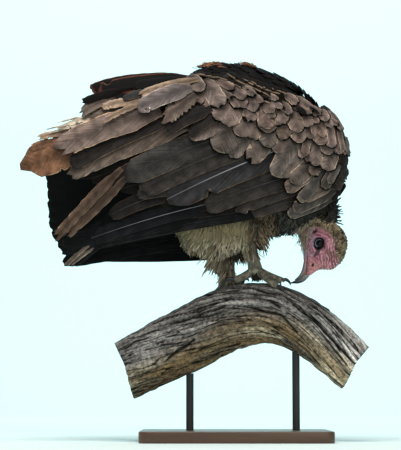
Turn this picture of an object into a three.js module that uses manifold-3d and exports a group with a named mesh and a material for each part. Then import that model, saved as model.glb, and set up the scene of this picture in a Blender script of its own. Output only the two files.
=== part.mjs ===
// A hooded vulture, life size, bent down to look at its feet, on a cut length of branch that two short rods
// hold above a flat base. Millimetres, +Z up. The bird faces +X and its left side is +Y. The origin is the
// middle of the base's underside.
import * as THREE from "three";
import { mergeVertices } from "three/addons/utils/BufferGeometryUtils.js";
import Module from "manifold-3d";

const wasm = await Module();
wasm.setup();

// ---- driving dimensions ----
const GAP = 0.3; // clear space between touching pieces
const RIGHT = -1; // a side of the body, as the sign of y
const LEFT = 1;
const SIDES = [RIGHT, LEFT];
const LABEL = { [RIGHT]: "right", [LEFT]: "left" };

// The outside of the folded wings: x, half-width, height of the widest line, rise above it, fall below it.
const FLANK = [
  [-345, 16, 420, 100, 150],
  [-280, 42, 408, 112, 170],
  [-200, 64, 418, 128, 195],
  [-100, 85, 432, 150, 220],
  [0, 98, 440, 165, 235],
  [70, 99, 442, 155, 230],
  [125, 88, 445, 118, 180],
  [165, 62, 447, 75, 120],
  [190, 12, 447, 35, 60],
];
const FLANK_POWER = 2.4; // how square the flank's section is: 2 is an ellipse
const LEAST_HALF_WIDTH = 9; // how close a wing comes to the middle plane

const LEFT_DROP = 14; // how much lower the left wing hangs than the right one

// Feather groups: lines of roots and tips in side view [x, z], and how far each lies outside the flank.
const SECONDARIES = {
  count: 5,
  roots: [[96, 402], [34, 440], [-62, 506]],
  tips: [[-96, 366], [-170, 396], [-262, 424]],
  width: 60,
  thick: 5,
  lift: -3,
  bow: 0,
};
const PRIMARIES = {
  count: 3,
  roots: [[110, 372], [100, 377], [84, 388]],
  tips: [[-272, 306], [-246, 318], [-190, 352]],
  width: 38,
  thick: 5,
  lift: -9,
  bow: -6,
};
const LEFT_PRIMARIES = { ...PRIMARIES, bow: 6 };
const SCAPULARS = {
  count: 4,
  roots: [[-70, 500], [-62, 520], [-50, 544]],
  tips: [[-268, 442], [-346, 432], [-328, 472], [-246, 516]],
  width: 50,
  thick: 6,
  lift: 5,
  bow: 0,
};
const LEFT_SCAPULARS = { ...SCAPULARS, tips: SCAPULARS.tips.map(([x, z]) => [0.84 * x, z + 14]) };
const COVERTS = { from: [-92, 516], to: [172, 410], lift: 2, bow: 0 };
const COVERT_WIDTHS = [40, 84, 104, 120, 132, 140, 112, 36];
const COVERT_THICKS = [5, 12, 16, 18, 18, 18, 14, 5];

// Fans of straight feathers in the open: middle of the roots and of the tips, and the line they spread on.
const TAIL = {
  count: 5,
  root: [-62, 6, 440],
  tip: [-289, 25, 368],
  line: [0, 0.64, -0.77],
  rootHalf: 16,
  tipHalf: 66,
  width: 40,
  thick: 5,
  round: 14,
};
const RAISED = {
  count: 4,
  root: [-40, 40, 566],
  tip: [-222, 42, 578],
  line: [0, 0.8, 0.6],
  rootHalf: 26,
  tipHalf: 30,
  width: 34,
  thick: 5,
  round: -16,
};

// The trunk with its feathers: x, top, bottom, half-width.
const TRUNK = [
  [-168, 490, 412, 16],
  [-130, 532, 372, 46],
  [-80, 580, 344, 70],
  [-35, 603, 332, 84],
  [20, 601, 322, 90],
  [75, 571, 322, 90],
  [115, 535, 330, 82],
  [150, 500, 360, 62],
  [174, 466, 395, 34],
  [184, 444, 418, 12],
];
const TRUNK_INSET = 12; // how far inside the flank the trunk stays

// The head's own frame: its middle is level with the eyes, FORWARD runs to the bill and DORSAL to the crown.
const HEAD_ORIGIN = new THREE.Vector3(132, 0, 312);
const HEAD_TILT = THREE.MathUtils.degToRad(17.5); // the bill's lean from straight down
const FORWARD = new THREE.Vector3(-Math.sin(HEAD_TILT), 0, -Math.cos(HEAD_TILT));
const DORSAL = new THREE.Vector3(Math.cos(HEAD_TILT), 0, -Math.sin(HEAD_TILT));
// forward, dorsal top, dorsal bottom, half-width
const HEAD = [
  [-40, 18, -14, 9],
  [-35, 29, -26, 19],
  [-25, 38.6, -33, 24],
  [-12, 44.6, -34, 26],
  [0, 45.6, -28, 26],
  [12, 44, -21, 23.5],
  [22, 39.6, -17, 20],
  [31, 32.6, -13.8, 15.5],
  [36.5, 16, -9.4, 11],
  [43, 8.8, -7.6, 8.6],
  [51, 3, -9.2, 6.6],
];
const HEAD_EGG = 0.12; // how much wider the head is towards the crown than towards the throat
const BILL_UPPER = [
  [51.4, 2.8, -9.4, 6.4],
  [57, -0.2, -11.4, 5.7],
  [62, -3.2, -14.4, 4.7],
  [66, -7.4, -18.6, 3.6],
  [69, -12.6, -21.8, 2.5],
  [71.3, -20.6, -25.4, 1],
];
const BILL_LOWER = [
  [31, -9, -13.8, 4.8],
  [36, -6, -13.2, 5.8],
  [46, -5, -12.4, 5.4],
  [54, -7, -13.6, 4.4],
  [60.5, -11, -16.6, 3],
  [64.5, -15.6, -19, 1.6],
];
const EYE = { radius: 8.4, forward: -0.5, dorsal: 1, out: 17.6 };
const NECK = { path: [[112, 405], [135, 380], [138, 345]], radii: [40, 34, 28] };

// Each leg: ankle, joint of the toes, how far the front toes and the hind one turn out, how far the thigh
// stands out from the body's middle plane, and the thigh's feathers from the bottom up as height, middle,
// half-length and half-width.
const LEGS = {
  [RIGHT]: {
    ankle: [16, -34, 340],
    joint: [32, -14, 271],
    yaw: 0,
    hindYaw: 0,
    out: 42,
    thigh: [
      [280, -42, 10, 7],
      [291, -40, 36, 19],
      [306, -32, 58, 29],
      [326, -24, 74, 36],
      [348, -22, 80, 38],
      [372, -20, 74, 36],
      [396, -12, 56, 28],
    ],
  },
  [LEFT]: {
    ankle: [-14, 36, 336],
    joint: [-10, 30, 256],
    yaw: THREE.MathUtils.degToRad(20),
    hindYaw: THREE.MathUtils.degToRad(-22),
    out: 40,
    thigh: [
      [268, -20, 9, 8],
      [286, -20, 19, 15],
      [306, -26, 46, 27],
      [326, -28, 70, 35],
      [348, -30, 78, 38],
      [372, -26, 74, 36],
      [396, -16, 56, 28],
    ],
  },
};
const TARSUS_RADII = [8, 7.4, 7.6, 9.4];
const KNUCKLE_RADIUS = 10.5;
// Each toe leaves the joint and lies on the perch: middle and end from the joint, seen from above, as
// [forwards, inwards], its radii and the length of its claw.
const TOES = [
  { name: "middle", mid: [22, 3], end: [42, 6], radii: [7, 5.8, 5.4, 5], claw: 15 },
  { name: "inner", mid: [20, 13], end: [33, 25], radii: [6.4, 5.2, 4.8, 4.4], claw: 15 },
  { name: "outer", mid: [19, -11], end: [33, -19], radii: [6.4, 5.2, 4.8, 4.4], claw: 14 },
  { name: "hind", mid: [-19, 1], end: [-33, -1], radii: [7, 5.8, 5.4, 5.2], claw: 24 },
];
const TOE_CLEAR = 1.2; // from a toe's underside down to the perch's curve
const TOE_ARCH = 3; // how much higher a toe's middle stands

// The perch: x, height of its middle, radius.
const PERCH = [
  [-172, 113, 48],
  [-123, 138, 51],
  [-69, 165, 52],
  [-21, 190, 52],
  [16, 201, 51],
  [52, 203, 49],
  [90, 193, 46],
  [127, 171, 44],
  [163, 141, 42],
  [186, 119, 41],
];
const BASE = { length: 300, width: 200, thick: 18, corner: 14, bevel: 2 };
const RODS = [{ name: "rear", x: -72 }, { name: "front", x: 96 }];
const ROD_RADIUS = 6;
const ROD_REACH = 30; // how far a rod's blank runs past the perch's underside before it is cut

// ---- small tools ----
const { lerp } = THREE.MathUtils;
const vector = (point) => new THREE.Vector3(...point);
const steps = (count) => Array.from({ length: count + 1 }, (_, i) => i / count);

function solidOf(geometry) {
  geometry.deleteAttribute("normal");
  geometry.deleteAttribute("uv");
  const merged = mergeVertices(geometry, 1e-3);
  return new wasm.Manifold(
    new wasm.Mesh({
      numProp: 3,
      vertProperties: merged.attributes.position.array,
      triVerts: new Uint32Array(merged.index.array),
    }),
  );
}

// A closed shape through rings of equally many points, with a fan over each end.
function loft(rings) {
  const count = rings[0].length;
  const points = rings.flat();
  const faces = [];
  for (let i = 0; i + 1 < rings.length; i++)
    for (let j = 0; j < count; j++) {
      const a = i * count + j;
      const b = i * count + ((j + 1) % count);
      faces.push([a, b, b + count], [a, b + count, a + count]);
    }
  for (const end of [0, rings.length - 1]) {
    const middle = new THREE.Vector3();
    rings[end].forEach((p) => middle.addScaledVector(p, 1 / count));
    points.push(middle);
    for (let j = 0; j < count; j++) {
      const a = end * count + j;
      const b = end * count + ((j + 1) % count);
      faces.push(end ? [a, b, points.length - 1] : [b, a, points.length - 1]);
    }
  }
  const made = (list) => solidOf(new THREE.BufferGeometry().setFromPoints(points).setIndex(list.flat()));
  const solid = made(faces);
  return solid.volume() > 0 ? solid : made(faces.map(([a, b, c]) => [a, c, b]));
}

const joined = (solids) => solids.reduce((a, b) => a.add(b));

// The largest body of a shape that a cut may have left in pieces.
const largest = (solid) => solid.decompose().reduce((a, b) => (b.volume() > a.volume() ? b : a));

// The other columns of a table at a value of its first one, on smooth curves through its rows.
function tableAt(table, x) {
  const last = table.length - 1;
  const row = (n) => table[Math.min(Math.max(n, 0), last)];
  const at = Math.min(Math.max(x, row(0)[0]), row(last)[0]);
  let i = 0;
  while (i < last - 1 && table[i + 1][0] < at) i++;
  const span = row(i + 1)[0] - row(i)[0];
  const t = (at - row(i)[0]) / span;
  return row(0).slice(1).map((_, k) => {
    const slope = (n) => (row(n + 1)[k + 1] - row(n - 1)[k + 1]) / (row(n + 1)[0] - row(n - 1)[0]);
    const [a, b] = [row(i)[k + 1], row(i + 1)[k + 1]];
    const [m, n] = [slope(i) * span, slope(i + 1) * span];
    const smooth = t * t * (3 - 2 * t);
    return a + (b - a) * smooth + t * (1 - t) * (m * (1 - t) - n * t);
  });
}

// A value of an evenly spread list at a share of its length.
function spread(list, t) {
  const at = t * (list.length - 1);
  const k = Math.min(Math.floor(at), list.length - 2);
  return lerp(list[k], list[k + 1], at - k);
}

// A point on a smooth curve through a few [x, z] points.
function onCurve(points, t) {
  const p = new THREE.CatmullRomCurve3(points.map(([x, z]) => new THREE.Vector3(x, 0, z))).getPoint(t);
  return [p.x, p.z];
}

// A ring of points round a middle, on two half axes.
function oval(middle, across, up, sides, start = 0.5) {
  return Array.from({ length: sides }, (_, j) => {
    const turn = (2 * Math.PI * (j + start)) / sides;
    return middle.clone().addScaledVector(across, Math.cos(turn)).addScaledVector(up, Math.sin(turn));
  });
}

// A round limb through points, with radii spread along it.
function limb(points, radii, { sides = 8, along = 5, spare = 0 } = {}) {
  const curve = new THREE.CatmullRomCurve3(points);
  const rings = steps(along).map((t) => {
    const radius = spread(radii, t) + spare;
    const run = curve.getTangent(t);
    const across = new THREE.Vector3(0, 1, 0).cross(run).normalize();
    const up = run.clone().cross(across).normalize();
    return oval(curve.getPoint(t), across.multiplyScalar(radius), up.multiplyScalar(radius), sides);
  });
  return loft(rings);
}

// ---- wings ----
const LENS_RING = [[-1, 0.35], [-0.5, 0.9], [0, 1], [0.5, 0.9], [1, 0.35], [1, -0.35], [0, -1], [-1, -0.35]];
const VANE_RING = [[-1, 0.5], [0, 1], [1, 0.5], [1, -0.5], [0, -1], [-1, -0.5]];
const VANE_WIDTHS = [0.9, 1, 1, 1, 0.86, 0.3];
const VANE_THICKS = [1, 1, 1, 0.8, 0.5];

// How far the folded wings' outside stands from the middle plane at a place seen from the side.
function flank(x, z) {
  const [half, middle, rise, fall] = tableAt(FLANK, x);
  const off = Math.abs(z - middle) / (z > middle ? rise : fall);
  const round = Math.max(0, 1 - off ** FLANK_POWER) ** (1 / FLANK_POWER);
  return Math.max(half * round, LEAST_HALF_WIDTH);
}

// A thin curved panel that lies on the flank from one [x, z] place to another.
function panel(side, { from, to, bow, widths, thicks, lift, ring = VANE_RING, along = 5 }, spare) {
  const run = new THREE.Vector2(to[0] - from[0], to[1] - from[1]).normalize();
  const drop = side === LEFT ? LEFT_DROP : 0;
  const rings = steps(along).map((t) => {
    const sag = bow * Math.sin(Math.PI * t);
    const half = spread(widths, t) / 2 + spare;
    const thick = spread(thicks, t) + 2 * spare;
    return ring.map(([u, v]) => {
      const off = sag + half * u;
      const x = lerp(from[0], to[0], t) - run.y * off;
      const z = lerp(from[1], to[1], t) + run.x * off - drop;
      return new THREE.Vector3(x, side * (flank(x, z) + lift + spare + ((v - 1) * thick) / 2), z);
    });
  });
  return loft(rings);
}

// The feathers of one group, spread evenly between its lines of roots and tips.
function fan(side, { count, roots, tips, width, thick, lift, bow }, spare) {
  const widths = VANE_WIDTHS.map((share) => share * width);
  const thicks = VANE_THICKS.map((share) => share * thick);
  const vanes = steps(count - 1).map((t) =>
    panel(side, { from: onCurve(roots, t), to: onCurve(tips, t), bow, widths, thicks, lift }, spare),
  );
  return joined(vanes);
}

const coverts = (side, spare) =>
  panel(side, { ...COVERTS, widths: COVERT_WIDTHS, thicks: COVERT_THICKS, ring: LENS_RING, along: 9 }, spare);

// A fan of straight feathers in the open.
function openFan({ count, root, tip, line, rootHalf, tipHalf, width, thick, round }, spare) {
  const cross = vector(line).normalize();
  const sections = [[0, 0.6], [0.5, 1], [0.93, 0.9], [1, 0.3]]; // share of the length, share of the width
  const vanes = steps(count - 1).map((share) => {
    const u = 2 * share - 1;
    const start = vector(root).addScaledVector(cross, u * rootHalf);
    const end = vector(tip).addScaledVector(cross, u * tipHalf);
    const inward = start.clone().sub(end).normalize();
    end.addScaledVector(inward, round * u * u);
    const up = inward.clone().cross(cross).normalize();
    const across = up.clone().cross(inward).normalize();
    return loft(
      sections.map(([t, wide]) =>
        VANE_RING.map(([p, q]) =>
          start
            .clone()
            .lerp(end, t)
            .addScaledVector(across, p * ((width / 2) * wide + spare))
            .addScaledVector(up, q * (thick / 2 + spare)),
        ),
      ),
    );
  });
  return joined(vanes);
}

// ---- trunk, neck and head ----
function trunk(spare) {
  const [first, last] = [TRUNK[0][0], TRUNK[TRUNK.length - 1][0]];
  return loft(
    steps(11).map((t) => {
      const x = lerp(first - spare, last + spare, t);
      const [top, bottom, half] = tableAt(TRUNK, x);
      const middle = new THREE.Vector3(x, 0, (top + bottom) / 2);
      const up = new THREE.Vector3(0, 0, (top - bottom) / 2 + spare);
      const ring = oval(middle, new THREE.Vector3(0, half + spare, 0), up, 16, 0);
      return ring.map((p) => {
        const widest = Math.max(flank(x, p.z) - TRUNK_INSET, LEAST_HALF_WIDTH) + spare;
        return p.setY(THREE.MathUtils.clamp(p.y, -widest, widest));
      });
    }),
  );
}

const neck = (spare) =>
  limb(NECK.path.map(([x, z]) => new THREE.Vector3(x, 0, z)), NECK.radii, { sides: 12, along: 3, spare });

// A point from the head's own frame.
const headPoint = (forward, dorsal, out) =>
  HEAD_ORIGIN.clone()
    .addScaledVector(FORWARD, forward)
    .addScaledVector(DORSAL, dorsal)
    .add(new THREE.Vector3(0, out, 0));

function headLoft(table, sides, egg, spare) {
  return loft(
    table.map(([forward, top, bottom, half], i) => {
      const end = (i === table.length - 1) - (i === 0);
      return Array.from({ length: sides }, (_, j) => {
        const turn = (2 * Math.PI * (j + 0.5)) / sides;
        const dorsal = (top + bottom) / 2 + ((top - bottom) / 2 + spare) * Math.cos(turn);
        const out = (half + spare) * Math.sin(turn) * (1 + egg * Math.cos(turn));
        return headPoint(forward + end * spare, dorsal, out);
      });
    }),
  );
}
const head = (spare) => headLoft(HEAD, 14, HEAD_EGG, spare);
const billUpper = (spare) => headLoft(BILL_UPPER, 10, 0, spare);
const billLower = (spare) => headLoft(BILL_LOWER, 10, 0, spare);

function eye(side, spare) {
  const ball = new THREE.SphereGeometry(EYE.radius + spare, 12, 8);
  return solidOf(ball.translate(...headPoint(EYE.forward, EYE.dorsal, side * EYE.out)));
}

// ---- legs ----
const thigh = (side, spare) =>
  loft(
    LEGS[side].thigh.map(([z, middle, long, wide], i, rows) => {
      const end = (i === rows.length - 1) - (i === 0);
      const centre = new THREE.Vector3(middle, side * LEGS[side].out, z + end * spare);
      return oval(centre, new THREE.Vector3(long + spare, 0, 0), new THREE.Vector3(0, wide + spare, 0), 12);
    }),
  );

function tarsus(side, spare) {
  const { ankle, joint } = LEGS[side];
  const middle = vector(ankle).lerp(vector(joint), 0.5);
  return limb([vector(ankle), middle, vector(joint)], TARSUS_RADII, { spare, along: 3 });
}

// The perch's section at x: its middle, its radius and the way square to its run.
function perchAt(x) {
  const [middle, radius] = tableAt(PERCH, x);
  const slope = (tableAt(PERCH, x + 1)[0] - tableAt(PERCH, x - 1)[0]) / 2;
  return { middle: new THREE.Vector3(x, 0, middle), radius, up: new THREE.Vector3(-slope, 0, 1).normalize() };
}

// A point so far off the perch's surface, at x and so far over it to the left from its crest line.
function abovePerch(x, over, height) {
  const point = new THREE.Vector3(x, 0, 0);
  let section = x;
  for (let i = 0; i < 5; i++) {
    section += x - point.x;
    const { middle, radius, up } = perchAt(section);
    const turn = over / radius;
    point
      .copy(middle)
      .addScaledVector(up, (radius + height) * Math.cos(turn))
      .add(new THREE.Vector3(0, (radius + height) * Math.sin(turn), 0));
  }
  return point;
}

// The line of a toe from the foot's joint to its end.
function toeLine(side, toe) {
  const { joint, yaw, hindYaw } = LEGS[side];
  const turn = toe.name === "hind" ? hindYaw : yaw;
  const lying = ([forwards, inwards], height) => {
    const x = joint[0] + forwards * Math.cos(turn) - inwards * Math.sin(turn);
    const over = joint[1] + side * (forwards * Math.sin(turn) - inwards * Math.cos(turn));
    return abovePerch(x, over, TOE_CLEAR + height);
  };
  return [vector(joint), lying(toe.mid, toe.radii[1] + TOE_ARCH), lying(toe.end, toe.radii[3])];
}

function foot(side, spare) {
  const knuckle = new THREE.SphereGeometry(KNUCKLE_RADIUS + spare, 10, 6).translate(...LEGS[side].joint);
  const toes = TOES.map((toe) => limb(toeLine(side, toe), toe.radii, { along: 4, spare }));
  return joined([solidOf(knuckle), ...toes]);
}

// A claw arches up from the end of its toe and down to the perch.
const CLAW_ARCH = [[0, 0.04], [0.4, 0.3], [0.8, 0.18], [1, -0.14]]; // forwards and up, in claw lengths
const CLAW_RADII = [0.78, 0.68, 0.48, 0.16]; // in end radii of the toe
function claw(side, toe) {
  const curve = new THREE.CatmullRomCurve3(toeLine(side, toe));
  const run = curve.getTangent(1);
  const radius = toe.radii[3];
  const base = curve.getPoint(1).addScaledVector(run, 2 * GAP);
  const up = base.clone().sub(perchAt(base.x).middle).normalize();
  const points = CLAW_ARCH.map(([along, high]) =>
    base.clone().addScaledVector(run, along * toe.claw).addScaledVector(up, high * toe.claw),
  );
  return limb(points, CLAW_RADII.map((share) => share * radius), { sides: 5, along: 4 });
}

// ---- perch and stand ----
function perch(spare) {
  const [first, last] = [PERCH[0][0], PERCH[PERCH.length - 1][0]];
  return loft(
    steps(12).map((t) => {
      const { middle, radius, up } = perchAt(lerp(first, last, t));
      return oval(middle, new THREE.Vector3(0, radius + spare, 0), up.multiplyScalar(radius + spare), 14);
    }),
  );
}

function base() {
  const { length, width, thick, corner, bevel } = BASE;
  const [a, b] = [length / 2 - bevel, width / 2 - bevel];
  const outline = new THREE.Shape();
  outline.absarc(a - corner, b - corner, corner, 0, Math.PI / 2);
  outline.absarc(-a + corner, b - corner, corner, Math.PI / 2, Math.PI);
  outline.absarc(-a + corner, -b + corner, corner, Math.PI, 1.5 * Math.PI);
  outline.absarc(a - corner, -b + corner, corner, 1.5 * Math.PI, 2 * Math.PI);
  const made = new THREE.ExtrudeGeometry(outline, {
    depth: thick - 2 * bevel,
    bevelThickness: bevel,
    bevelSize: bevel,
    bevelSegments: 1,
    curveSegments: 3,
  });
  return solidOf(made.translate(0, 0, bevel));
}

function rod(x) {
  const [middle, radius] = tableAt(PERCH, x);
  const bottom = BASE.thick + GAP;
  const top = middle - radius + ROD_REACH;
  const made = new THREE.CylinderGeometry(ROD_RADIUS, ROD_RADIUS, top - bottom, 16);
  return solidOf(made.rotateX(Math.PI / 2).translate(x, 0, (top + bottom) / 2)).subtract(perch(GAP));
}

// ---- assembly ----
const paint = (color, roughness, metalness = 0) =>
  new THREE.MeshStandardMaterial({ color, roughness, metalness });
const PAINTS = {
  coverts: paint("#6f5a4b", 0.75),
  flight: paint("#3a3432", 0.6),
  scapulars: paint("#8d6f58", 0.75),
  body: paint("#5a483d", 0.8),
  thigh: paint("#b5aa8a", 0.9),
  hood: paint("#84725a", 0.9),
  horn: paint("#45403f", 0.4),
  eye: paint("#120d0b", 0.1),
  leg: paint("#7d7c6c", 0.7),
  claw: paint("#1d1c1f", 0.4),
  perch: paint("#6d675f", 0.9),
  base: paint("#4b3627", 0.5),
  rod: paint("#2a2a2c", 0.4, 0.8),
};

const group = new THREE.Group();
const placed = []; // each piece so far, a gap's width larger, for the next ones to be cut by

// Adds a piece, cut clear of the pieces before it. shape(spare) makes it that much larger all round.
function put(name, material, shape) {
  const solid = largest(placed.reduce((made, other) => made.subtract(other), shape(0)));
  const mesh = solid.getMesh();
  const geometry = new THREE.BufferGeometry()
    .setAttribute("position", new THREE.BufferAttribute(new Float32Array(mesh.vertProperties), 3))
    .setIndex(new THREE.BufferAttribute(new Uint32Array(mesh.triVerts), 1));
  geometry.computeVertexNormals();
  const piece = new THREE.Mesh(geometry, material);
  piece.name = name;
  group.add(piece);
  placed.push(shape(GAP));
}

for (const side of SIDES) {
  const wing = `wing_${LABEL[side]}`;
  put(`${wing}_coverts`, PAINTS.coverts, (spare) => coverts(side, spare));
  put(`${wing}_scapulars`, PAINTS.scapulars, (spare) =>
    fan(side, side === LEFT ? LEFT_SCAPULARS : SCAPULARS, spare),
  );
  put(`${wing}_secondaries`, PAINTS.flight, (spare) => fan(side, SECONDARIES, spare));
  put(`${wing}_primaries`, PAINTS.flight, (spare) =>
    fan(side, side === LEFT ? LEFT_PRIMARIES : PRIMARIES, spare),
  );
}
put("wing_left_scapulars_raised", PAINTS.scapulars, (spare) => openFan(RAISED, spare));
for (const side of SIDES) put(`eye_${LABEL[side]}`, PAINTS.eye, (spare) => eye(side, spare));
put("bill_upper", PAINTS.horn, billUpper);
put("head", PAINTS.hood, head);
put("bill_lower", PAINTS.horn, billLower);
put("trunk", PAINTS.body, trunk);
put("neck", PAINTS.body, neck);
put("tail", PAINTS.flight, (spare) => openFan(TAIL, spare));
put("perch_branch", PAINTS.perch, perch);
for (const side of SIDES) {
  const label = LABEL[side];
  put(`foot_${label}`, PAINTS.leg, (spare) => foot(side, spare));
  put(`tarsus_${label}`, PAINTS.leg, (spare) => tarsus(side, spare));
  put(`thigh_${label}`, PAINTS.thigh, (spare) => thigh(side, spare));
  for (const toe of TOES) put(`claw_${label}_${toe.name}`, PAINTS.claw, () => claw(side, toe));
}
put("stand_base", PAINTS.base, base);
for (const { name, x } of RODS) put(`stand_rod_${name}`, PAINTS.rod, () => rod(x));

export default group;
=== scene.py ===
"""A hooded vulture bowed over a short length of dead branch, held by a plain display stand.

Every length below is in metres. Tables that are easier to read in millimetres are multiplied by MM.
The bird faces +X, its right side faces the camera at -Y, and +Z is up.
"""

import math
from functools import partial
from types import SimpleNamespace

import bpy
import numpy as np
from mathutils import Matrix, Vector, noise
from mathutils.bvhtree import BVHTree


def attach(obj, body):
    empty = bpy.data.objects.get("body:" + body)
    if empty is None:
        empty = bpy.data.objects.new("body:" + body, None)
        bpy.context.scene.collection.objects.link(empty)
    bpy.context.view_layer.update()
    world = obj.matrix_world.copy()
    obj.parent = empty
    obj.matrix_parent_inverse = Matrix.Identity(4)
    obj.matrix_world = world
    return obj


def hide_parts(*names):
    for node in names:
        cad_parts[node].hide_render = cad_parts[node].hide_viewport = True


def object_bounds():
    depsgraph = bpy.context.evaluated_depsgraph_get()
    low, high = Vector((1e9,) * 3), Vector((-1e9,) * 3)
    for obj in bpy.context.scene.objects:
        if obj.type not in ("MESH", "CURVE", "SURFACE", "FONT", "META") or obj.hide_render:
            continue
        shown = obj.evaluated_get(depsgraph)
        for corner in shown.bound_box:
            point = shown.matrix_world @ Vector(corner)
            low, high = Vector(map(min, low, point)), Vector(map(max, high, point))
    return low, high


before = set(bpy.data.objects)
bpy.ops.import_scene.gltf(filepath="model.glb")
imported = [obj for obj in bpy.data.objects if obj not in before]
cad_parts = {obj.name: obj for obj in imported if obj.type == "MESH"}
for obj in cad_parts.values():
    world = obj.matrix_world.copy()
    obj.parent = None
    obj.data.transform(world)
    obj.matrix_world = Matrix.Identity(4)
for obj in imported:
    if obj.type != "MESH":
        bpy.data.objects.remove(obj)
CAD_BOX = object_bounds()

MM = 0.001
RIGHT = -1  # a side of the body, as the sign of y
LEFT = 1
SIDES = {RIGHT: "right", LEFT: "left"}
RNG = np.random.default_rng(11)

# ---- the bird's driving shapes, in millimetres as in the construction ----
# The flank is the smooth outer side of the folded wings: x, half-width, height of its middle, rise and fall.
FLANK = np.array([
    [-345, 16, 420, 100, 150],
    [-280, 42, 408, 112, 170],
    [-200, 64, 418, 128, 195],
    [-100, 85, 432, 150, 220],
    [0, 98, 440, 165, 235],
    [70, 99, 442, 155, 230],
    [125, 88, 445, 118, 180],
    [165, 62, 447, 75, 120],
    [190, 12, 447, 35, 60],
]) * MM
FLANK_POWER = 2.4
LEAST_HALF_WIDTH = 9 * MM
LEFT_DROP = 14 * MM  # how much lower the left wing hangs

HEAD_ORIGIN = np.array([132, 0, 312]) * MM
HEAD_TILT = math.radians(17.5)
FORWARD = np.array([-math.sin(HEAD_TILT), 0, -math.cos(HEAD_TILT)])
DORSAL = np.array([math.cos(HEAD_TILT), 0, -math.sin(HEAD_TILT)])
# forward, dorsal top, dorsal bottom, half-width
HEAD = np.array([
    [-40, 18, -14, 9],
    [-35, 29, -26, 19],
    [-25, 38.6, -33, 24],
    [-12, 44.6, -34, 26],
    [0, 45.6, -28, 26],
    [12, 44, -21, 23.5],
    [22, 39.6, -17, 20],
    [31, 32.6, -13.8, 15.5],
    [36.5, 16, -9.4, 11],
    [43, 8.8, -7.6, 8.6],
    [51, 3, -9.2, 6.6],
]) * MM
HEAD_EGG = 0.12
BILL_UPPER = np.array([
    [51.4, 2.8, -9.4, 6.4],
    [57, -0.2, -11.4, 5.7],
    [62, -3.2, -14.4, 4.7],
    [66, -7.4, -18.6, 3.6],
    [69, -12.6, -21.8, 2.5],
    [71.3, -20.6, -25.4, 1],
]) * MM
BILL_LOWER = np.array([
    [31, -9, -13.8, 4.8],
    [36, -6, -13.2, 5.8],
    [46, -5, -12.4, 5.4],
    [54, -7, -13.6, 4.4],
    [60.5, -11, -16.6, 3],
    [64.5, -15.6, -19, 1.6],
]) * MM
EYE_RADIUS = 8.4 * MM
EYE_FORWARD = -0.5 * MM
EYE_DORSAL = 1 * MM
EYE_OUT = 17.6 * MM

# x, height of the middle, radius
PERCH = np.array([
    [-172, 113, 48],
    [-123, 138, 51],
    [-69, 165, 52],
    [-21, 190, 52],
    [16, 201, 51],
    [52, 203, 49],
    [90, 193, 46],
    [127, 171, 44],
    [163, 141, 42],
    [186, 119, 41],
]) * MM
LEGS = {
    RIGHT: {"ankle": (16, -34, 340), "joint": (32, -14, 271), "yaw": 0.0, "hind_yaw": 0.0},
    LEFT: {
        "ankle": (-14, 36, 336), "joint": (-10, 30, 256),
        "yaw": math.radians(20), "hind_yaw": math.radians(-22)},
}
# middle and end of each toe from the joint as (forwards, inwards), radii along it and the length of its claw
TOES = {
    "middle": {"mid": (22, 3), "end": (42, 6), "radii": (7, 5.8, 5.4, 5), "claw": 15},
    "inner": {"mid": (20, 13), "end": (33, 25), "radii": (6.4, 5.2, 4.8, 4.4), "claw": 15},
    "outer": {"mid": (19, -11), "end": (33, -19), "radii": (6.4, 5.2, 4.8, 4.4), "claw": 14},
    "hind": {"mid": (-19, 1), "end": (-33, -1), "radii": (7, 5.8, 5.4, 5.2), "claw": 24},
}
TOE_CLEAR = 1.2 * MM
TOE_ARCH = 3 * MM
CLAW_ARCH = ((0, 0.04), (0.4, 0.3), (0.8, 0.18), (1, -0.14))
CLAW_SHARES = (0.78, 0.68, 0.48, 0.16)


# ---- small tools ----
def linear(code):
    """An sRGB hex colour as linear red, green, blue and alpha."""
    channels = [int(code[i:i + 2], 16) / 255 for i in (1, 3, 5)]
    return [c / 12.92 if c <= 0.04045 else ((c + 0.055) / 1.055) ** 2.4 for c in channels] + [1.0]


def unit(vectors):
    vectors = np.asarray(vectors, float)
    return vectors / np.maximum(np.linalg.norm(vectors, axis=-1, keepdims=True), 1e-12)


def smooth(low, high, values):
    t = np.clip((np.asarray(values, float) - low) / (high - low), 0, 1)
    return t * t * (3 - 2 * t)


def tangents(rows, at):
    slopes = np.empty_like(rows)
    slopes[1:-1] = (rows[2:] - rows[:-2]) / (at[2:] - at[:-2])[:, None]
    slopes[0] = (rows[1] - rows[0]) / (at[1] - at[0])
    slopes[-1] = (rows[-1] - rows[-2]) / (at[-1] - at[-2])
    return slopes


def along_rows(at, rows, places):
    """The rows that belong to places, read smoothly between those that belong to at."""
    at = np.asarray(at, float)
    rows = np.asarray(rows, float)
    places = np.clip(np.asarray(places, float), at[0], at[-1])
    i = np.clip(np.searchsorted(at, places) - 1, 0, len(at) - 2)
    span = at[i + 1] - at[i]
    t = (places - at[i]) / span
    t, span = t[..., None], span[..., None]
    slopes = tangents(rows, at)
    return (
        (2 * t**3 - 3 * t**2 + 1) * rows[i] + (t**3 - 2 * t**2 + t) * span * slopes[i]
        + (3 * t**2 - 2 * t**3) * rows[i + 1] + (t**3 - t**2) * span * slopes[i + 1]
    )


def table_at(table, places):
    return along_rows(table[:, 0], table[:, 1:], places)


def on_line(points, t):
    """Points so far along a smooth line through a few points."""
    points = np.asarray(points, float)
    return along_rows(np.linspace(0, 1, len(points)), points, t)


FLANK_STEPS = np.linspace(FLANK[0, 0], FLANK[-1, 0], 400)
FLANK_ROWS = table_at(FLANK, FLANK_STEPS)


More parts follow.
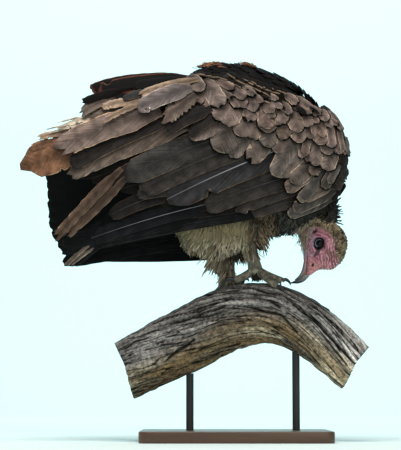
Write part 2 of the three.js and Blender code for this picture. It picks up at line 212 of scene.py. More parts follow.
def flank(x, z):
    """Half the width of the folded wings at x and z."""
    half, middle, rise, fall = (np.interp(x, FLANK_STEPS, FLANK_ROWS[:, k]) for k in range(4))
    off = np.abs(z - middle) / np.where(z > middle, rise, fall)
    return np.maximum(half * np.clip(1 - off**FLANK_POWER, 0, 1) ** (1 / FLANK_POWER), LEAST_HALF_WIDTH)


def head_point(forward, dorsal, out):
    return (
        HEAD_ORIGIN + np.multiply.outer(forward, FORWARD) + np.multiply.outer(dorsal, DORSAL)
        + np.multiply.outer(out, [0, 1, 0])
    )


def head_place(points):
    """Forward, dorsal and out of points, in the head's own frame."""
    rel = np.asarray(points) - HEAD_ORIGIN
    return rel @ FORWARD, rel @ DORSAL, rel[..., 1]


def perch_at(x):
    middle, radius = table_at(PERCH, x).T
    slope = (table_at(PERCH, x + MM)[..., 0] - table_at(PERCH, x - MM)[..., 0]) / (2 * MM)
    up = unit(np.stack([-slope, np.zeros_like(slope), np.ones_like(slope)], -1))
    return np.stack([x, np.zeros_like(middle), middle], -1), radius, up


def above_perch(x, over, height):
    """A point so far off the perch's surface, at x and so far over it to the left from its crest line."""
    section, point = x, np.array([x, 0, 0.0])
    for _ in range(5):
        section += x - point[0]
        middle, radius, up = perch_at(np.array(section))
        turn = over / radius
        reach = radius + height
        point = middle + up * reach * math.cos(turn) + np.array([0, reach * math.sin(turn), 0])
    return point


def toe_line(side, name):
    leg, toe = LEGS[side], TOES[name]
    turn = leg["hind_yaw"] if name == "hind" else leg["yaw"]
    joint = np.array(leg["joint"]) * MM

    def lying(place, height):
        forwards, inwards = place[0] * MM, place[1] * MM
        x = joint[0] + forwards * math.cos(turn) - inwards * math.sin(turn)
        over = joint[1] + side * (forwards * math.sin(turn) - inwards * math.cos(turn))
        return above_perch(x, over, TOE_CLEAR + height)

    radii = toe["radii"]
    return np.array([joint, lying(toe["mid"], radii[1] * MM + TOE_ARCH), lying(toe["end"], radii[3] * MM)])


# ---- meshes ----
def alone(obj):
    bpy.ops.object.select_all(action="DESELECT")
    obj.select_set(True)
    bpy.context.view_layer.objects.active = obj
    return obj


def vectors_of(items, name):
    flat = np.empty(len(items) * 3, np.float32)
    items.foreach_get(name, flat)
    return flat.reshape(-1, 3).astype(float)


def coordinates(obj):
    return vectors_of(obj.data.vertices, "co")


def vertex_normals(obj):
    return vectors_of(obj.data.vertex_normals, "vector")


def reshape(obj, points):
    obj.data.vertices.foreach_set("co", np.asarray(points, np.float32).ravel())
    obj.data.update()


def apply_modifier(obj, kind, **settings):
    alone(obj)
    made = obj.modifiers.new(kind.lower(), kind)
    for name, value in settings.items():
        setattr(made, name, value)
    bpy.ops.object.modifier_apply(modifier=made.name)


def paint(obj, name, colours):
    """Gives each vertex a colour under that name."""
    layer = obj.data.attributes.new(name, "FLOAT_COLOR", "POINT")
    layer.data.foreach_set("color", np.asarray(colours, np.float32).ravel())


def add_to_scene(name, data):
    obj = bpy.data.objects.new(name, data)
    bpy.context.scene.collection.objects.link(obj)
    return obj


def joined_mesh(name, points, quads, material):
    mesh = bpy.data.meshes.new(name)
    mesh.vertices.add(len(points))
    mesh.vertices.foreach_set("co", np.asarray(points, np.float32).ravel())
    mesh.loops.add(quads.size)
    mesh.loops.foreach_set("vertex_index", quads.ravel().astype(np.int32))
    mesh.polygons.add(len(quads))
    mesh.polygons.foreach_set("loop_start", np.arange(0, quads.size, 4, dtype=np.int32))
    mesh.polygons.foreach_set("use_smooth", np.ones(len(quads), bool))
    mesh.materials.append(material)
    mesh.update(calc_edges=True)
    return add_to_scene(name, mesh)


def map_corners(obj, name, places):
    """A UV map from one place for each vertex."""
    corner = np.empty(len(obj.data.loops), np.int32)
    obj.data.loops.foreach_get("vertex_index", corner)
    layer = obj.data.uv_layers.new(name=name)
    layer.data.foreach_set("uv", np.asarray(places, np.float32)[corner].ravel())


def edit_whole(obj, operator, **settings):
    """Runs a mesh operator on everything in a mesh."""
    alone(obj)
    bpy.ops.object.mode_set(mode="EDIT")
    bpy.ops.mesh.select_all(action="SELECT")
    operator(**settings)
    bpy.ops.object.mode_set(mode="OBJECT")


def start_from(name, operator, **settings):
    """A simple body to start a piece from, such as a ball or a box, made by Blender's operator for it."""
    bpy.ops.object.select_all(action="DESELECT")
    operator(**settings)
    obj = bpy.context.active_object
    obj.name = obj.data.name = name
    return obj


def between(low, values, high):
    """Which values lie between two limits."""
    return (values > low) & (values < high)


# ---- materials ----
TIMES, PLUS, MINUS = {"operation": "MULTIPLY"}, {"operation": "ADD"}, {"operation": "SUBTRACT"}
SIZE, SINE, LARGER = {"operation": "ABSOLUTE"}, {"operation": "SINE"}, {"operation": "MAXIMUM"}
EASED = {"interpolation_type": "SMOOTHSTEP"}
COLOURS = {"output": 2, "data_type": "RGBA"}
FIRST, SECOND = 6, 7  # the two colours among a mix node's inputs


def node(tree, kind, inputs=(), output=0, **settings):
    """Adds a shader node with its settings and gives one of its outputs. Its inputs, in order or by name,
    are values or the sockets to link to them."""
    made = tree.nodes.new("ShaderNode" + kind)
    for name, value in settings.items():
        setattr(made, name, value)
    for socket, value in inputs.items() if isinstance(inputs, dict) else enumerate(inputs):
        if isinstance(value, bpy.types.NodeSocket):
            tree.links.new(value, made.inputs[socket])
        else:
            made.inputs[socket].default_value = value
    return made.outputs[output] if made.outputs else made


def new_material(name):
    """Starts a material: the way to add nodes to it, and places on the object."""
    material = bpy.data.materials.new(name)
    material.use_nodes = True
    material.node_tree.nodes.clear()
    add = partial(node, material.node_tree)
    return add, add("TexCoord", output="Object")


def shaded(add, colour, *ranges):
    """A colour times a few values, each eased into a range of its own: (value, low, high, start, end)."""
    shade = 1
    for steps in ranges:
        shade = add("Math", (shade, add("MapRange", steps, **EASED)), **TIMES)
    return add("VectorMath", {0: colour, "Scale": shade}, operation="SCALE")


def finish_material(name, add, colour, roughness, bump=None, **more):
    """Gives a material its surface. A bump is its height, strength and depth."""
    surface = {"Base Color": colour, "Roughness": roughness}
    surface.update((key.replace("_", " "), value) for key, value in more.items())
    if bump:
        surface["Normal"] = add("Bump", dict(zip(("Height", "Strength", "Distance"), bump)))
    add("OutputMaterial", (add("BsdfPrincipled", surface),))
    return bpy.data.materials[name]


def vane_material(name, barbs, shaft_half, fringe, tip_fringe, fray, roughness):
    """Feather keratin, matt: barbs that run out and forwards from a pale shaft, a worn
    pale fringe and a soft mottle. The colours are the feather's own, in its attributes tone and trim, but
    each vane is darkened towards its root: painted shade where the feathers over it cover it."""
    add, place = new_material(name)
    vane = add("UVMap", uv_map="vane")
    run, side = (add("SeparateXYZ", (vane,), axis) for axis in (0, 1))
    tone, shaft = (add("Attribute", output=part, attribute_name="tone") for part in ("Color", "Alpha"))
    trim = add("Attribute", output="Color", attribute_name="trim")
    from_shaft = add("Math", (add("Math", (add("Math", (side, 2), **TIMES), 1), **MINUS),), **SIZE)
    worn = add("Math", (add("TexNoise", (place, 0, 160, 4, 0.55)), 0.5), **MINUS)
    ragged = add("Math", (worn, fray), **TIMES)
    tip_ragged = add("Math", (ragged, tip_fringe / fringe), **TIMES)
    edge = add("Math", [
        add("MapRange", (add("Math", pair, **PLUS), 1 - width, 1 - 0.4 * width), **EASED)
        for pair, width in (((from_shaft, ragged), fringe), ((run, tip_ragged), tip_fringe))], **LARGER)
    slant = add("Math", (run, add("Math", (from_shaft, 0.28), **TIMES)), **MINUS)
    barb = add("Math", (add("Math", (slant, barbs), **TIMES),), **SINE)
    own = add("SeparateColor", (tone,))
    lengthways = add("CombineXYZ", [
        add("Math", pair, **TIMES) for pair in ((slant, 0.16 * barbs), (side, 1.6), (own, 900))])
    vane_colour = shaded(
        add, add("Mix", {0: edge, FIRST: tone, SECOND: trim}, **COLOURS),
        (barb, -1, 1, 0.86, 1.08),
        (add("TexNoise", (place, 0, 70, 4, 0.55)), 0.3, 0.7, 0.66, 1.3),
        (from_shaft, 0, 0.8, 0.62, 1.14),
        # Painted shade: darker towards the root, which the feathers over it cover.
        (run, 0.1, 0.6, 0.6, 1),
        (add("TexNoise", (lengthways, 0, 1, 3, 0.55)), 0.3, 0.7, 0.62, 1.32))
    on_shaft = add("MapRange", (from_shaft, shaft_half, shaft_half * 0.4), **EASED)
    fading = add("MapRange", (run, 0.1, 1, 1, 0.25), **EASED)
    pale = add("Math", (add("Math", (on_shaft, fading), **TIMES), shaft), **TIMES)
    colour = add("Mix", {0: pale, FIRST: vane_colour, SECOND: linear("#a9abb4")}, **COLOURS)
    return finish_material(name, add, colour, roughness, (barb, 0.25, 0.0002), Specular_IOR_Level=0.08)


def down_material(name, roughness):
    """Loose down, soft and without gloss. Each lock carries its own colour, darker at its root."""
    add, _ = new_material(name)
    run = add("SeparateXYZ", (add("UVMap", uv_map="vane"),))
    tone, trim = (add("Attribute", output="Color", attribute_name=layer) for layer in ("tone", "trim"))
    colour = add("Mix", {0: add("MapRange", (run, 0.1, 0.9), **EASED), FIRST: tone, SECOND: trim}, **COLOURS)
    return finish_material(
        name, add, colour, roughness, Sheen_Weight=0.1, Sheen_Roughness=0.6, Specular_IOR_Level=0.2)


def skin_material(name):
    """Bare skin: pink and creased on the face, scaly grey on the legs. Thin skin over blood looks soft, so
    it scatters a little light; its fine pebbling keeps highlights broken up."""
    add, place = new_material(name)
    hide = add("Attribute", output="Color", attribute_name="hide")
    colour = shaded(add, hide, (add("TexNoise", (place, 0, 420, 4, 0.55)), 0.3, 0.7, 0.78, 1.16))
    cells = add("TexVoronoi", {"Vector": place, "Scale": 620}, "Distance", feature="DISTANCE_TO_EDGE")
    pebble = add("MapRange", (cells, 0, 0.12), **EASED)
    return finish_material(
        name, add, colour, 0.58, (pebble, 0.5, 0.0003), Subsurface_Weight=0.12,
        Subsurface_Radius=(0.004, 0.0015, 0.001), Subsurface_Scale=0.6, Specular_IOR_Level=0.4)


def horn_material(name, roughness):
    """Bill and claw horn: dense keratin, worn to a low gloss with fine growth lines along it."""
    add, place = new_material(name)
    tone = add("Attribute", output="Color", attribute_name="tone")
    lengthways = add("Mapping", {"Vector": place, "Scale": (1, 1, 0.25)})
    streak = add("TexNoise", (lengthways, 0, 900, 4, 0.55))
    colour = shaded(add, tone, (streak, 0.3, 0.7, 0.8, 1.15))
    return finish_material(name, add, colour, roughness, (streak, 0.25, 0.0002), IOR=1.54)


def eye_material(name):
    """A wet eyeball: brown-black iris under a clear cornea, so it is glossy and nearly black. The blue-grey
    crescent on one side of it is a painted reflection of the light above."""
    add, _ = new_material(name)
    tone = add("Attribute", output="Color", attribute_name="tone")
    return finish_material(
        name, add, tone, 0.06, IOR=1.38, Specular_IOR_Level=0.2, Coat_Weight=0.08, Coat_Roughness=0.03)


def dead_wood_material(name):
    """Weathered dead wood: silver-grey fibres, black checks along the grain, and tan wood underneath where
    the bark fell away. Dry fibres scatter light, so it has next to no gloss."""
    add, place = new_material(name)
    grain = add("UVMap", uv_map="grain")
    tone = add("Attribute", output="Color", attribute_name="tone")
    fibres, checks = (add("Mapping", {"Vector": grain, "Scale": (long, 1, 1)}) for long in (0.16, 0.1))
    fibre = add("TexNoise", (fibres, 0, 260, 6, 0.65))
    wide = add("TexNoise", (fibres, 0, 60, 5, 0.6))
    off_check = add("Math", (add("TexNoise", (checks, 0, 70, 3, 0.55)), 0.5), **MINUS)
    colour = shaded(
        add, tone, (fibre, 0.34, 0.64, 0.58, 1.3), (wide, 0.3, 0.7, 0.7, 1.25),
        (add("Math", (off_check,), **SIZE), 0.007, 0.034, 0.06, 1),
        (add("TexNoise", (place, 0, 190, 5, 0.7)), 0.36, 0.62, 0.45, 1.45))
    height = add("Math", (fibre, add("Math", (wide, 1.5), **TIMES)), **PLUS)
    return finish_material(name, add, colour, 0.88, (height, 0.9, 0.0016), Specular_IOR_Level=0.25)


def stand_wood_material(name):
    """Beech, stained dark and oiled: fine darker flecks along the grain and a soft satin gloss."""
    add, place = new_material(name)
    grain, flecks = (add("Mapping", {"Vector": place, "Scale": (long, 1, 1)}) for long in (0.07, 0.2))
    figure = add("TexNoise", (grain, 0, 90, 6, 0.6))
    figured = add("MapRange", (figure, 0.35, 0.65), **EASED)
    flecked = add("MapRange", (add("TexNoise", (flecks, 0, 900, 2, 0.55)), 0.62, 0.7, 0, 0.5), **EASED)
    tone = add("Mix", {0: figured, FIRST: linear("#463020"), SECOND: linear("#563d2a")}, **COLOURS)
    colour = add("Mix", {0: flecked, FIRST: tone, SECOND: linear("#2e1f15")}, **COLOURS)
    return finish_material(
        name, add, colour, 0.42, (figure, 0.1, 0.0005), Coat_Weight=0.15, Coat_Roughness=0.35)


def painted_steel_material(name):
    """Steel rod in matt black powder paint, which has a faint orange-peel texture."""
    add, place = new_material(name)
    peel = add("TexNoise", (place, 0, 1400, 2, 0.55))
    peeled = add("MapRange", (peel, 0.3, 0.7), **EASED)
    colour = add("Mix", {0: peeled, FIRST: linear("#1d1e20"), SECOND: linear("#242628")}, **COLOURS)
    return finish_material(name, add, colour, 0.6, (peel, 0.15, 0.0002))


def studio_paper_material(name):
    """Seamless studio paper, matt and pale, with a breath of cyan."""
    add, place = new_material(name)
    tooth = add("TexNoise", (place, 0, 40, 2, 0.55))
    colour = add("Mix", {0: tooth, FIRST: linear("#e3f4f5"), SECOND: linear("#e7f8f9")}, **COLOURS)
    return finish_material(name, add, colour, 0.95, Specular_IOR_Level=0.1)


# name, barbs along the vane, half of the shaft, fringe, fringe at the tip, how ragged, roughness
COVERT_VANE = vane_material("covert feather keratin", 150, 0.04, 0.11, 0.06, 0.1, 0.7)
FLIGHT_VANE = vane_material("flight feather keratin", 420, 0.035, 0.055, 0.02, 0.07, 0.6)
BODY_VANE = vane_material("body feather keratin", 90, 0.05, 0.3, 0.2, 0.3, 0.72)
RUFOUS_VANE = vane_material("rufous-edged feather keratin", 300, 0.035, 0.22, 0.07, 0.16, 0.65)
DOWN = down_material("loose down", 0.85)
HOOD_DOWN = down_material("woolly hood down", 0.9)
BARE_SKIN = skin_material("bare skin")
BILL_HORN = horn_material("bill horn", 0.4)
CLAW_HORN = horn_material("claw horn", 0.3)
EYEBALL = eye_material("wet eyeball")
DEAD_WOOD = dead_wood_material("weathered dead wood")
STAND_WOOD = stand_wood_material("dark stained and oiled beech")
STAND_STEEL = painted_steel_material("powder-painted steel")
STUDIO_PAPER = studio_paper_material("studio paper")

# ---- plumage colours: vane, fringe, and how pale the shaft is ----
PLUMES = {
    "covert": ("#786963", "#ccb5a0", 0.0),
    "covert_dark": ("#665a54", "#ac9784", 0.0),
    "greyscap": ("#7d706a", "#cab6a4", 0.0),
    "greater": ("#635a55", "#a5917e", 0.0),
    "slate": ("#544f4c", "#8f8174", 0.1),
    "secondary": ("#35312f", "#5e4d3f", 0.12),
    "shafted": ("#343336", "#63503f", 1.0),
    "tertial": ("#2a2625", "#7e6855", 0.06),
    "slate_brown": ("#3a3837", "#6f5846", 0.08),
    # The under layers' colours, darker than the feathers over them: painted shade where they show in the
    # gaps.
    "under_dark": ("#141211", "#292420", 0.03),
    "under_covert": ("#332b26", "#6f5e50", 0.05),
    "primary_shaft": ("#17181b", "#2d2826", 0.9),
    "primary_brown": ("#262321", "#5c4636", 0.3),
    "brown": ("#6e6058", "#a8937f", 0.0),
    "lilac": ("#6f6665", "#dccdbf", 0.0),
    "tan": ("#a08874", "#e2cbb2", 0.0),
    "rufous": ("#805d48", "#c8a583", -0.4),
    "primary": ("#151618", "#2a2523", 0.04),
    "primary_worn": ("#5c4b40", "#a98c74", 0.05),
    # The tail's near-black is partly its own dark plumage and partly painted shade on its underside.
    "tail": ("#060708", "#110f0e", 0.0),
    "raised": ("#0a090a", "#5c362a", 0.0),
    "mantle": ("#0d0c0e", "#1a1615", 0.0),
    "mantle_rufous": ("#5d3824", "#b98258", 0.0),
    "tan_grey": ("#7b6b64", "#d6b090", 0.05),
    "pale": ("#d9cbb8", "#efe6da", 0.0),
    "worn_tip": ("#7d7066", "#b5a08c", 0.1),
    # gap colours the near-black sheets under the coverts: painted shadow along each covert's edge.
    "gap": ("#070605", "#0b0908", 0.0),
    "band_dark": ("#161312", "#221d1a", 0.0),
    "band_edge": ("#927d6b", "#b8a08a", 0.0),
    "breast": ("#131110", "#241f1c", 0.03),
    "ruff": ("#100d0c", "#1f1a17", 0.0),
}


def plume_colours(names, spread):
    """The tone and trim of each feather, with a little difference from feather to feather."""
    tone = np.array([linear(PLUMES[n][0]) for n in names])
    trim = np.array([linear(PLUMES[n][1]) for n in names])
    tone[:, 3] = [PLUMES[n][2] for n in names]
    light = RNG.normal(1, spread, (len(names), 1))
    warm = RNG.normal(0, spread / 6, (len(names), 1)) * np.array([[1, 0, -1]])
    tone[:, :3] *= np.clip(light + warm, 0.5, 1.6)
    trim[:, :3] *= np.clip(0.5 + light / 2 + warm, 0.6, 1.5)
    return tone, trim


# ---- feathers ----
def vane_template(along, across):
    """A flat vane one long and two wide, closed all round: where each vertex lies along it, across it and
    above or below it, its station and column in the grid, and the faces."""
    bpy.ops.object.select_all(action="DESELECT")
    bpy.ops.mesh.primitive_grid_add(x_subdivisions=along, y_subdivisions=across, size=2)
    sheet = bpy.context.active_object
    apply_modifier(sheet, "SOLIDIFY", thickness=1.0, offset=0.0)
    co = coordinates(sheet)
    quads = np.array([tuple(p.vertices) for p in sheet.data.polygons])
    bpy.data.objects.remove(sheet)
    u = (co[:, 0] + 1) / 2
    return {
        "u": 0.35 * (0.5 - np.cos(np.pi * u**0.9) / 2) + 0.65 * u,
        "v": np.sin(co[:, 1] * math.pi / 2), "above": np.sign(co[:, 2]), "quads": quads,
        "station": np.rint(u * along).astype(int), "along": along,
        "column": np.rint((co[:, 1] + 1) / 2 * across).astype(int), "across": across,
    }


def vane_outline(vane, count, round_tip, taper, quill, fray, tear):
    """Where each vertex of each vane lies along and across it, with worn edges: (count, vertices) twice."""
    u, v = vane["u"][None], vane["v"][None]
    fray = np.broadcast_to(np.asarray(fray, float).reshape(-1, 1), (count, 1))
    bow = 1 - np.sqrt(np.clip(1 - 0.96 * v**2, 0, 1))
    worn = RNG.uniform(0, 1, (count, vane["across"] + 1)) ** 2 * fray
    reach = 1 - np.asarray(round_tip).reshape(-1, 1) * bow - worn[:, vane["column"]]
    run = u * (1 - (1 - reach) * smooth(0.15, 1.0, u))
    base = quill + (1 - quill) * smooth(0, 0.28, run)
    body = base * (1 - taper * run**2.5)
    nick = 1 - RNG.uniform(0, 1, (count, 2, vane["along"] + 1)) ** 3 * fray[..., None] * 1.2
    torn = RNG.uniform(0, 1, (count, 2, 1)) < tear
    place = RNG.uniform(0.45, 0.9, (count, 2, 1))
    stations = np.linspace(0, 1, vane["along"] + 1)[None, None]
    nick *= 1 - 0.42 * torn * (np.abs(stations - place) < 0.6 / vane["along"])
    half = (vane["v"] > 0).astype(int)
    wide = body * v * nick[:, half, vane["station"]]
    return run, wide


CELL_FILL = 0.92  # how much of its cell on the bake's map a vane fills


def settle(spots):
    """Spots evened out to the cells of a square grid: the middle of each one's cell, and a vane's size."""
    count = len(spots)
    side = math.ceil(math.sqrt(count))
    columns = np.argsort(spots[:, 0], kind="stable")
    cell = np.empty((count, 2))
    for i in range(side):
        column = columns[i * side:(i + 1) * side]
        order = column[np.argsort(spots[column, 1], kind="stable")]
        cell[order, 0] = i
        cell[order, 1] = np.arange(len(order))
    return (cell + 0.5) / side, CELL_FILL / side


def feather_mesh(name, vane, points, run, tone, trim, material, spots, patch=None):
    """Joins the vanes into one mesh with their colours, their own map and the bake's map. A patch's size is
    given for small tufts; larger vanes are spread over the map, each as large as fits."""
    count, size = points.shape[:2]
    quads = (vane["quads"][None] + np.arange(count)[:, None, None] * size).reshape(-1, 4)
    obj = joined_mesh(name, points.reshape(-1, 3), quads, material)
    paint(obj, "tone", np.repeat(tone, size, 0))
    paint(obj, "trim", np.repeat(trim, size, 0))
    across = np.broadcast_to((vane["v"][None] + 1) / 2, run.shape)
    map_corners(obj, "vane", np.stack([run, across], -1).reshape(-1, 2))
    if patch is None:
        centre, patch = settle(spots)
    else:
        centre = 0.01 + 0.98 * spots
    place = centre[:, None] + patch * (np.stack([run, across], -1) - 0.5)
    map_corners(obj, "OFBake", place.reshape(-1, 2))
    obj.data.uv_layers["vane"].active = True
    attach(obj, "root")
    return obj


BODY_AXIS = 0.44  # height of the body's long axis over the feet


def skin_unwrap(points):
    """Places on an unwrap of the skin round the body's long axis, 0 to 1 both ways."""
    low, high = np.array(CAD_BOX[0]), np.array(CAD_BOX[1])
    along = (points[:, 0] - low[0]) / (high[0] - low[0])
    above = points[:, 2] - BODY_AXIS + 0.5 * np.abs(points[:, 0])
    around = np.arctan2(points[:, 1], above) / (2 * math.pi) + 0.5
    return np.clip(np.stack([along, around], -1), 0, 1)


def flank_vanes(vane, side, root, tip, bow, width, lift, outline, camber, thick, tilt, drop=0.0, curl=0.0):
    """Vanes that lie on the flank. Roots and tips are x and z, lift is how far root and tip stand off it,
    tilt raises their lower edge and curl lifts the tip: points of (count, vertices, 3)."""
    run, wide = outline
    root, tip = np.asarray(root, float), np.asarray(tip, float)
    lay = tip - root
    long = np.linalg.norm(lay, axis=1)[:, None]
    way = lay / long
    cross = np.stack([-way[:, 1], way[:, 0]], 1)  # towards the lower edge on a vane that points back
    bend = np.reshape(bow, (-1, 1)) * 4 * run * (1 - run)
    half = np.reshape(width, (-1, 1)) / 2 * wide
    x = root[:, :1] + lay[:, :1] * run + cross[:, :1] * (bend + half)
    z = root[:, 1:] + lay[:, 1:] * run + cross[:, 1:] * (bend + half)
    lift = np.asarray(lift, float)
    off = lift[:, :1] + (lift[:, 1:] - lift[:, :1]) * run
    off = off + np.reshape(camber, (-1, 1)) * (1 - vane["v"][None] ** 2) * smooth(0, 0.3, run)
    off = off + np.reshape(tilt, (-1, 1)) * vane["v"][None] * smooth(0, 0.4, run)
    off = off + np.reshape(curl, (-1, 1)) * smooth(0.6, 1.0, run)
    off = off + vane["above"][None] * thick / 2 * (1.05 - 0.6 * run)
    y = side * (flank(x, z + drop) + off)
    return np.stack([x, y, z], -1)


def free_vanes(vane, start, middle, end, facing, width, outline, camber, thick, tilt=0.0):
    """Vanes along curves of three points, their upper side turned the way that facing says."""
    run, wide = outline
    t = run[..., None]
    curve = (1 - t) ** 2 * start[:, None] + 2 * t * (1 - t) * middle[:, None] + t**2 * end[:, None]
    way = unit(2 * (1 - t) * (middle - start)[:, None] + 2 * t * (end - middle)[:, None])
    face = facing[:, None] - way * np.sum(facing[:, None] * way, -1, keepdims=True)
    face = unit(face)
    cross = np.cross(face, way)
    half = (np.reshape(width, (-1, 1)) / 2 * wide)[..., None]
    rise = np.reshape(camber, (-1, 1)) * (1 - vane["v"][None] ** 2) + vane["above"][None] * thick / 2
    rise = rise + np.reshape(tilt, (-1, 1)) * vane["v"][None]
    return curve + cross * half + face * rise[..., None]


# ---- skin ----
VOXEL = 3.4 * MM
# How far the skin lies inside each node of flesh: the coat's depth there.
COAT_DEPTH = {
    "trunk": 8, "neck": 5, "head": 0.3, "thigh_right": 10, "thigh_left": 10,
    "tarsus_right": 0, "tarsus_left": 0, "foot_right": 0, "foot_left": 0,
    "wing_right_coverts": 1, "wing_left_coverts": 1,
}
WING_INWARD = 7 * MM  # how far the arm's skin is drawn in towards the trunk
HOOD_DORSAL = np.array([-28.5, -8.9, 2, 13.8, 22.2, 26.2, 29.1, 38, 41]) * MM
HOOD_FORWARD = np.array([-21.5, -26.9, -24.7, -19.7, -12.8, -2.2, 4.8, 13.1, 20.8]) * MM
# How far forward the skin of the breast reaches: x at each z.
BREAST_LIMIT = np.array([
    (152, 372), (152, 397), (154, 409), (161, 421), (172, 440), (186, 458), (200, 470)]) * MM
# Marks of the face, forward and dorsal in millimetres.
EAR = (-16.5, -11.6)
NOSTRIL = (34.1, 1.6)
FOLD_SPACING = 4.9
HEAD_END = 53 * MM  # how far forward the skin of the head reaches
SHANK_TOP = 0.32  # below this height the legs are bare
LEG_SKIN = 1.14  # how much thicker the toes are with their scales and pads
TARSUS_RADII = ([9], [8.6], [9.2], [11.6])


def flesh(name, depth):
    """A merged copy of a CAD node, drawn in by the coat's depth."""
    obj = add_to_scene(name + "_flesh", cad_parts[name].data.copy())
    edit_whole(obj, bpy.ops.mesh.remove_doubles, threshold=0.00002)
    points = coordinates(obj) - vertex_normals(obj) * depth * MM
    if name.startswith("wing"):
        points[:, 1] -= np.sign(points[:, 1]) * WING_INWARD
    reshape(obj, points)
    return obj


def refine(obj, chosen, cuts):
    """Subdivides the faces whose corners are all chosen."""
    alone(obj)
    bpy.ops.object.mode_set(mode="EDIT")
    bpy.ops.mesh.select_mode(type="VERT")
    bpy.ops.mesh.select_all(action="DESELECT")
    bpy.ops.object.mode_set(mode="OBJECT")
    obj.data.vertices.foreach_set("select", chosen)
    bpy.ops.object.mode_set(mode="EDIT")
    bpy.ops.mesh.select_mode(type="VERT")
    bpy.ops.mesh.subdivide(number_cuts=cuts, smoothness=0.0)
    bpy.ops.object.mode_set(mode="OBJECT")


def head_ratio(forward, dorsal, out):
    """How far out of the head's middle line a point is, 1 on its surface, and the surface beyond it."""
    top, bottom, half = table_at(HEAD, forward).T
    middle, rise = (top + bottom) / 2, (top - bottom) / 2
    turn = np.arctan2(out / half, (dorsal - middle) / rise)
    egg = 1 + HEAD_EGG * np.cos(turn)
    ratio = np.hypot(out / (half * egg), (dorsal - middle) / rise)
    return ratio, middle + rise * np.cos(turn), half * np.sin(turn) * egg


def near_head(points, start, reach):
    forward, dorsal, out = head_place(points)
    ratio = head_ratio(forward, dorsal, out)[0]
    return (forward > start) & (forward < HEAD_END) & (ratio < reach)


def past_hood(forward, dorsal):
    """How far in front of the hood's edge a point of the head lies."""
    return forward - np.interp(dorsal, HOOD_DORSAL, HOOD_FORWARD)


def limb_paths(side):
    """The middle lines and radii of the tarsus and toes of a leg, finely stepped."""
    leg, t = LEGS[side], np.linspace(0, 1, 36)
    ankle, joint = np.array(leg["ankle"]) * MM, np.array(leg["joint"]) * MM
    paths = [(on_line([ankle, (ankle + joint) / 2, joint], t), on_line(TARSUS_RADII, t)[:, 0] * MM)]
    for name, toe in TOES.items():
        radii = on_line([[r] for r in toe["radii"]], t)[:, 0] * LEG_SKIN * MM
        paths.append((on_line(toe_line(side, name), t), radii))
    return paths


def to_limbs(points, side):
    """Distance of points from the surface of a leg's bare limbs and the way out of it."""
    best = np.full(len(points), 1.0)
    way = np.zeros_like(points)
    every = np.arange(len(points))
    for line, radii in limb_paths(side):
        gap = points[:, None] - line[None]
        reach = np.linalg.norm(gap, axis=2) - radii[None]
        k = reach.argmin(1)
        closer = reach[every, k] < best
        best[closer] = reach[every, k][closer]
        way[closer] = unit(gap[every, k])[closer]
    return best, way


def wobble(points, scale, shift=0.0):
    """Smooth noise between about -1 and 1. The scale and the shift are one number or one for each axis."""
    shift = shift if np.ndim(shift) else (shift, 0, 0)
    return np.array([noise.noise(Vector(p)) for p in points * np.array(scale) + shift])


def face_marks(points):
    """What lies where on the face, all in millimetres or as a ratio that is 1 at a mark's edge. The skin's
    folds run round the eye and down to the bill, and wander from even lines."""
    forward, dorsal, _ = head_place(points)
    f, d = forward / MM, dorsal / MM
    drift = 3.0 * wobble(points, 75.0) + 1.3 * wobble(points, 190.0, 3.0)
    phase = np.where(f > 0, d - 0.5 * f, np.copysign(np.hypot(d, 0.9 * f), d + 12))
    from_ear = f - EAR[0]
    return SimpleNamespace(
        f=f, d=d, drift=drift, folds=np.sin(2 * math.pi * (phase + drift) / FOLD_SPACING),
        zone=(
            smooth(6, 9, np.hypot(f * 0.8, d)) * smooth(-22, -14, f) * smooth(36, 30, f)
            * smooth(-13, -7, d)),
        below_eye=smooth(9, 15, f) * smooth(12, 7, d),
        ear=np.hypot(from_ear / 3.6, (d - EAR[1] + 0.45 * from_ear) / 2.3),
        nostril=np.hypot((f - NOSTRIL[0]) / 2.1, (d - NOSTRIL[1]) / 1.3),
        gape=np.abs(d + 8.6 - 0.25 * (f - 31)), lids=np.hypot((f + 0.5) / 7.9, (d - 0.6) / 6.5),
        past_hood=past_hood(forward, dorsal) / MM)


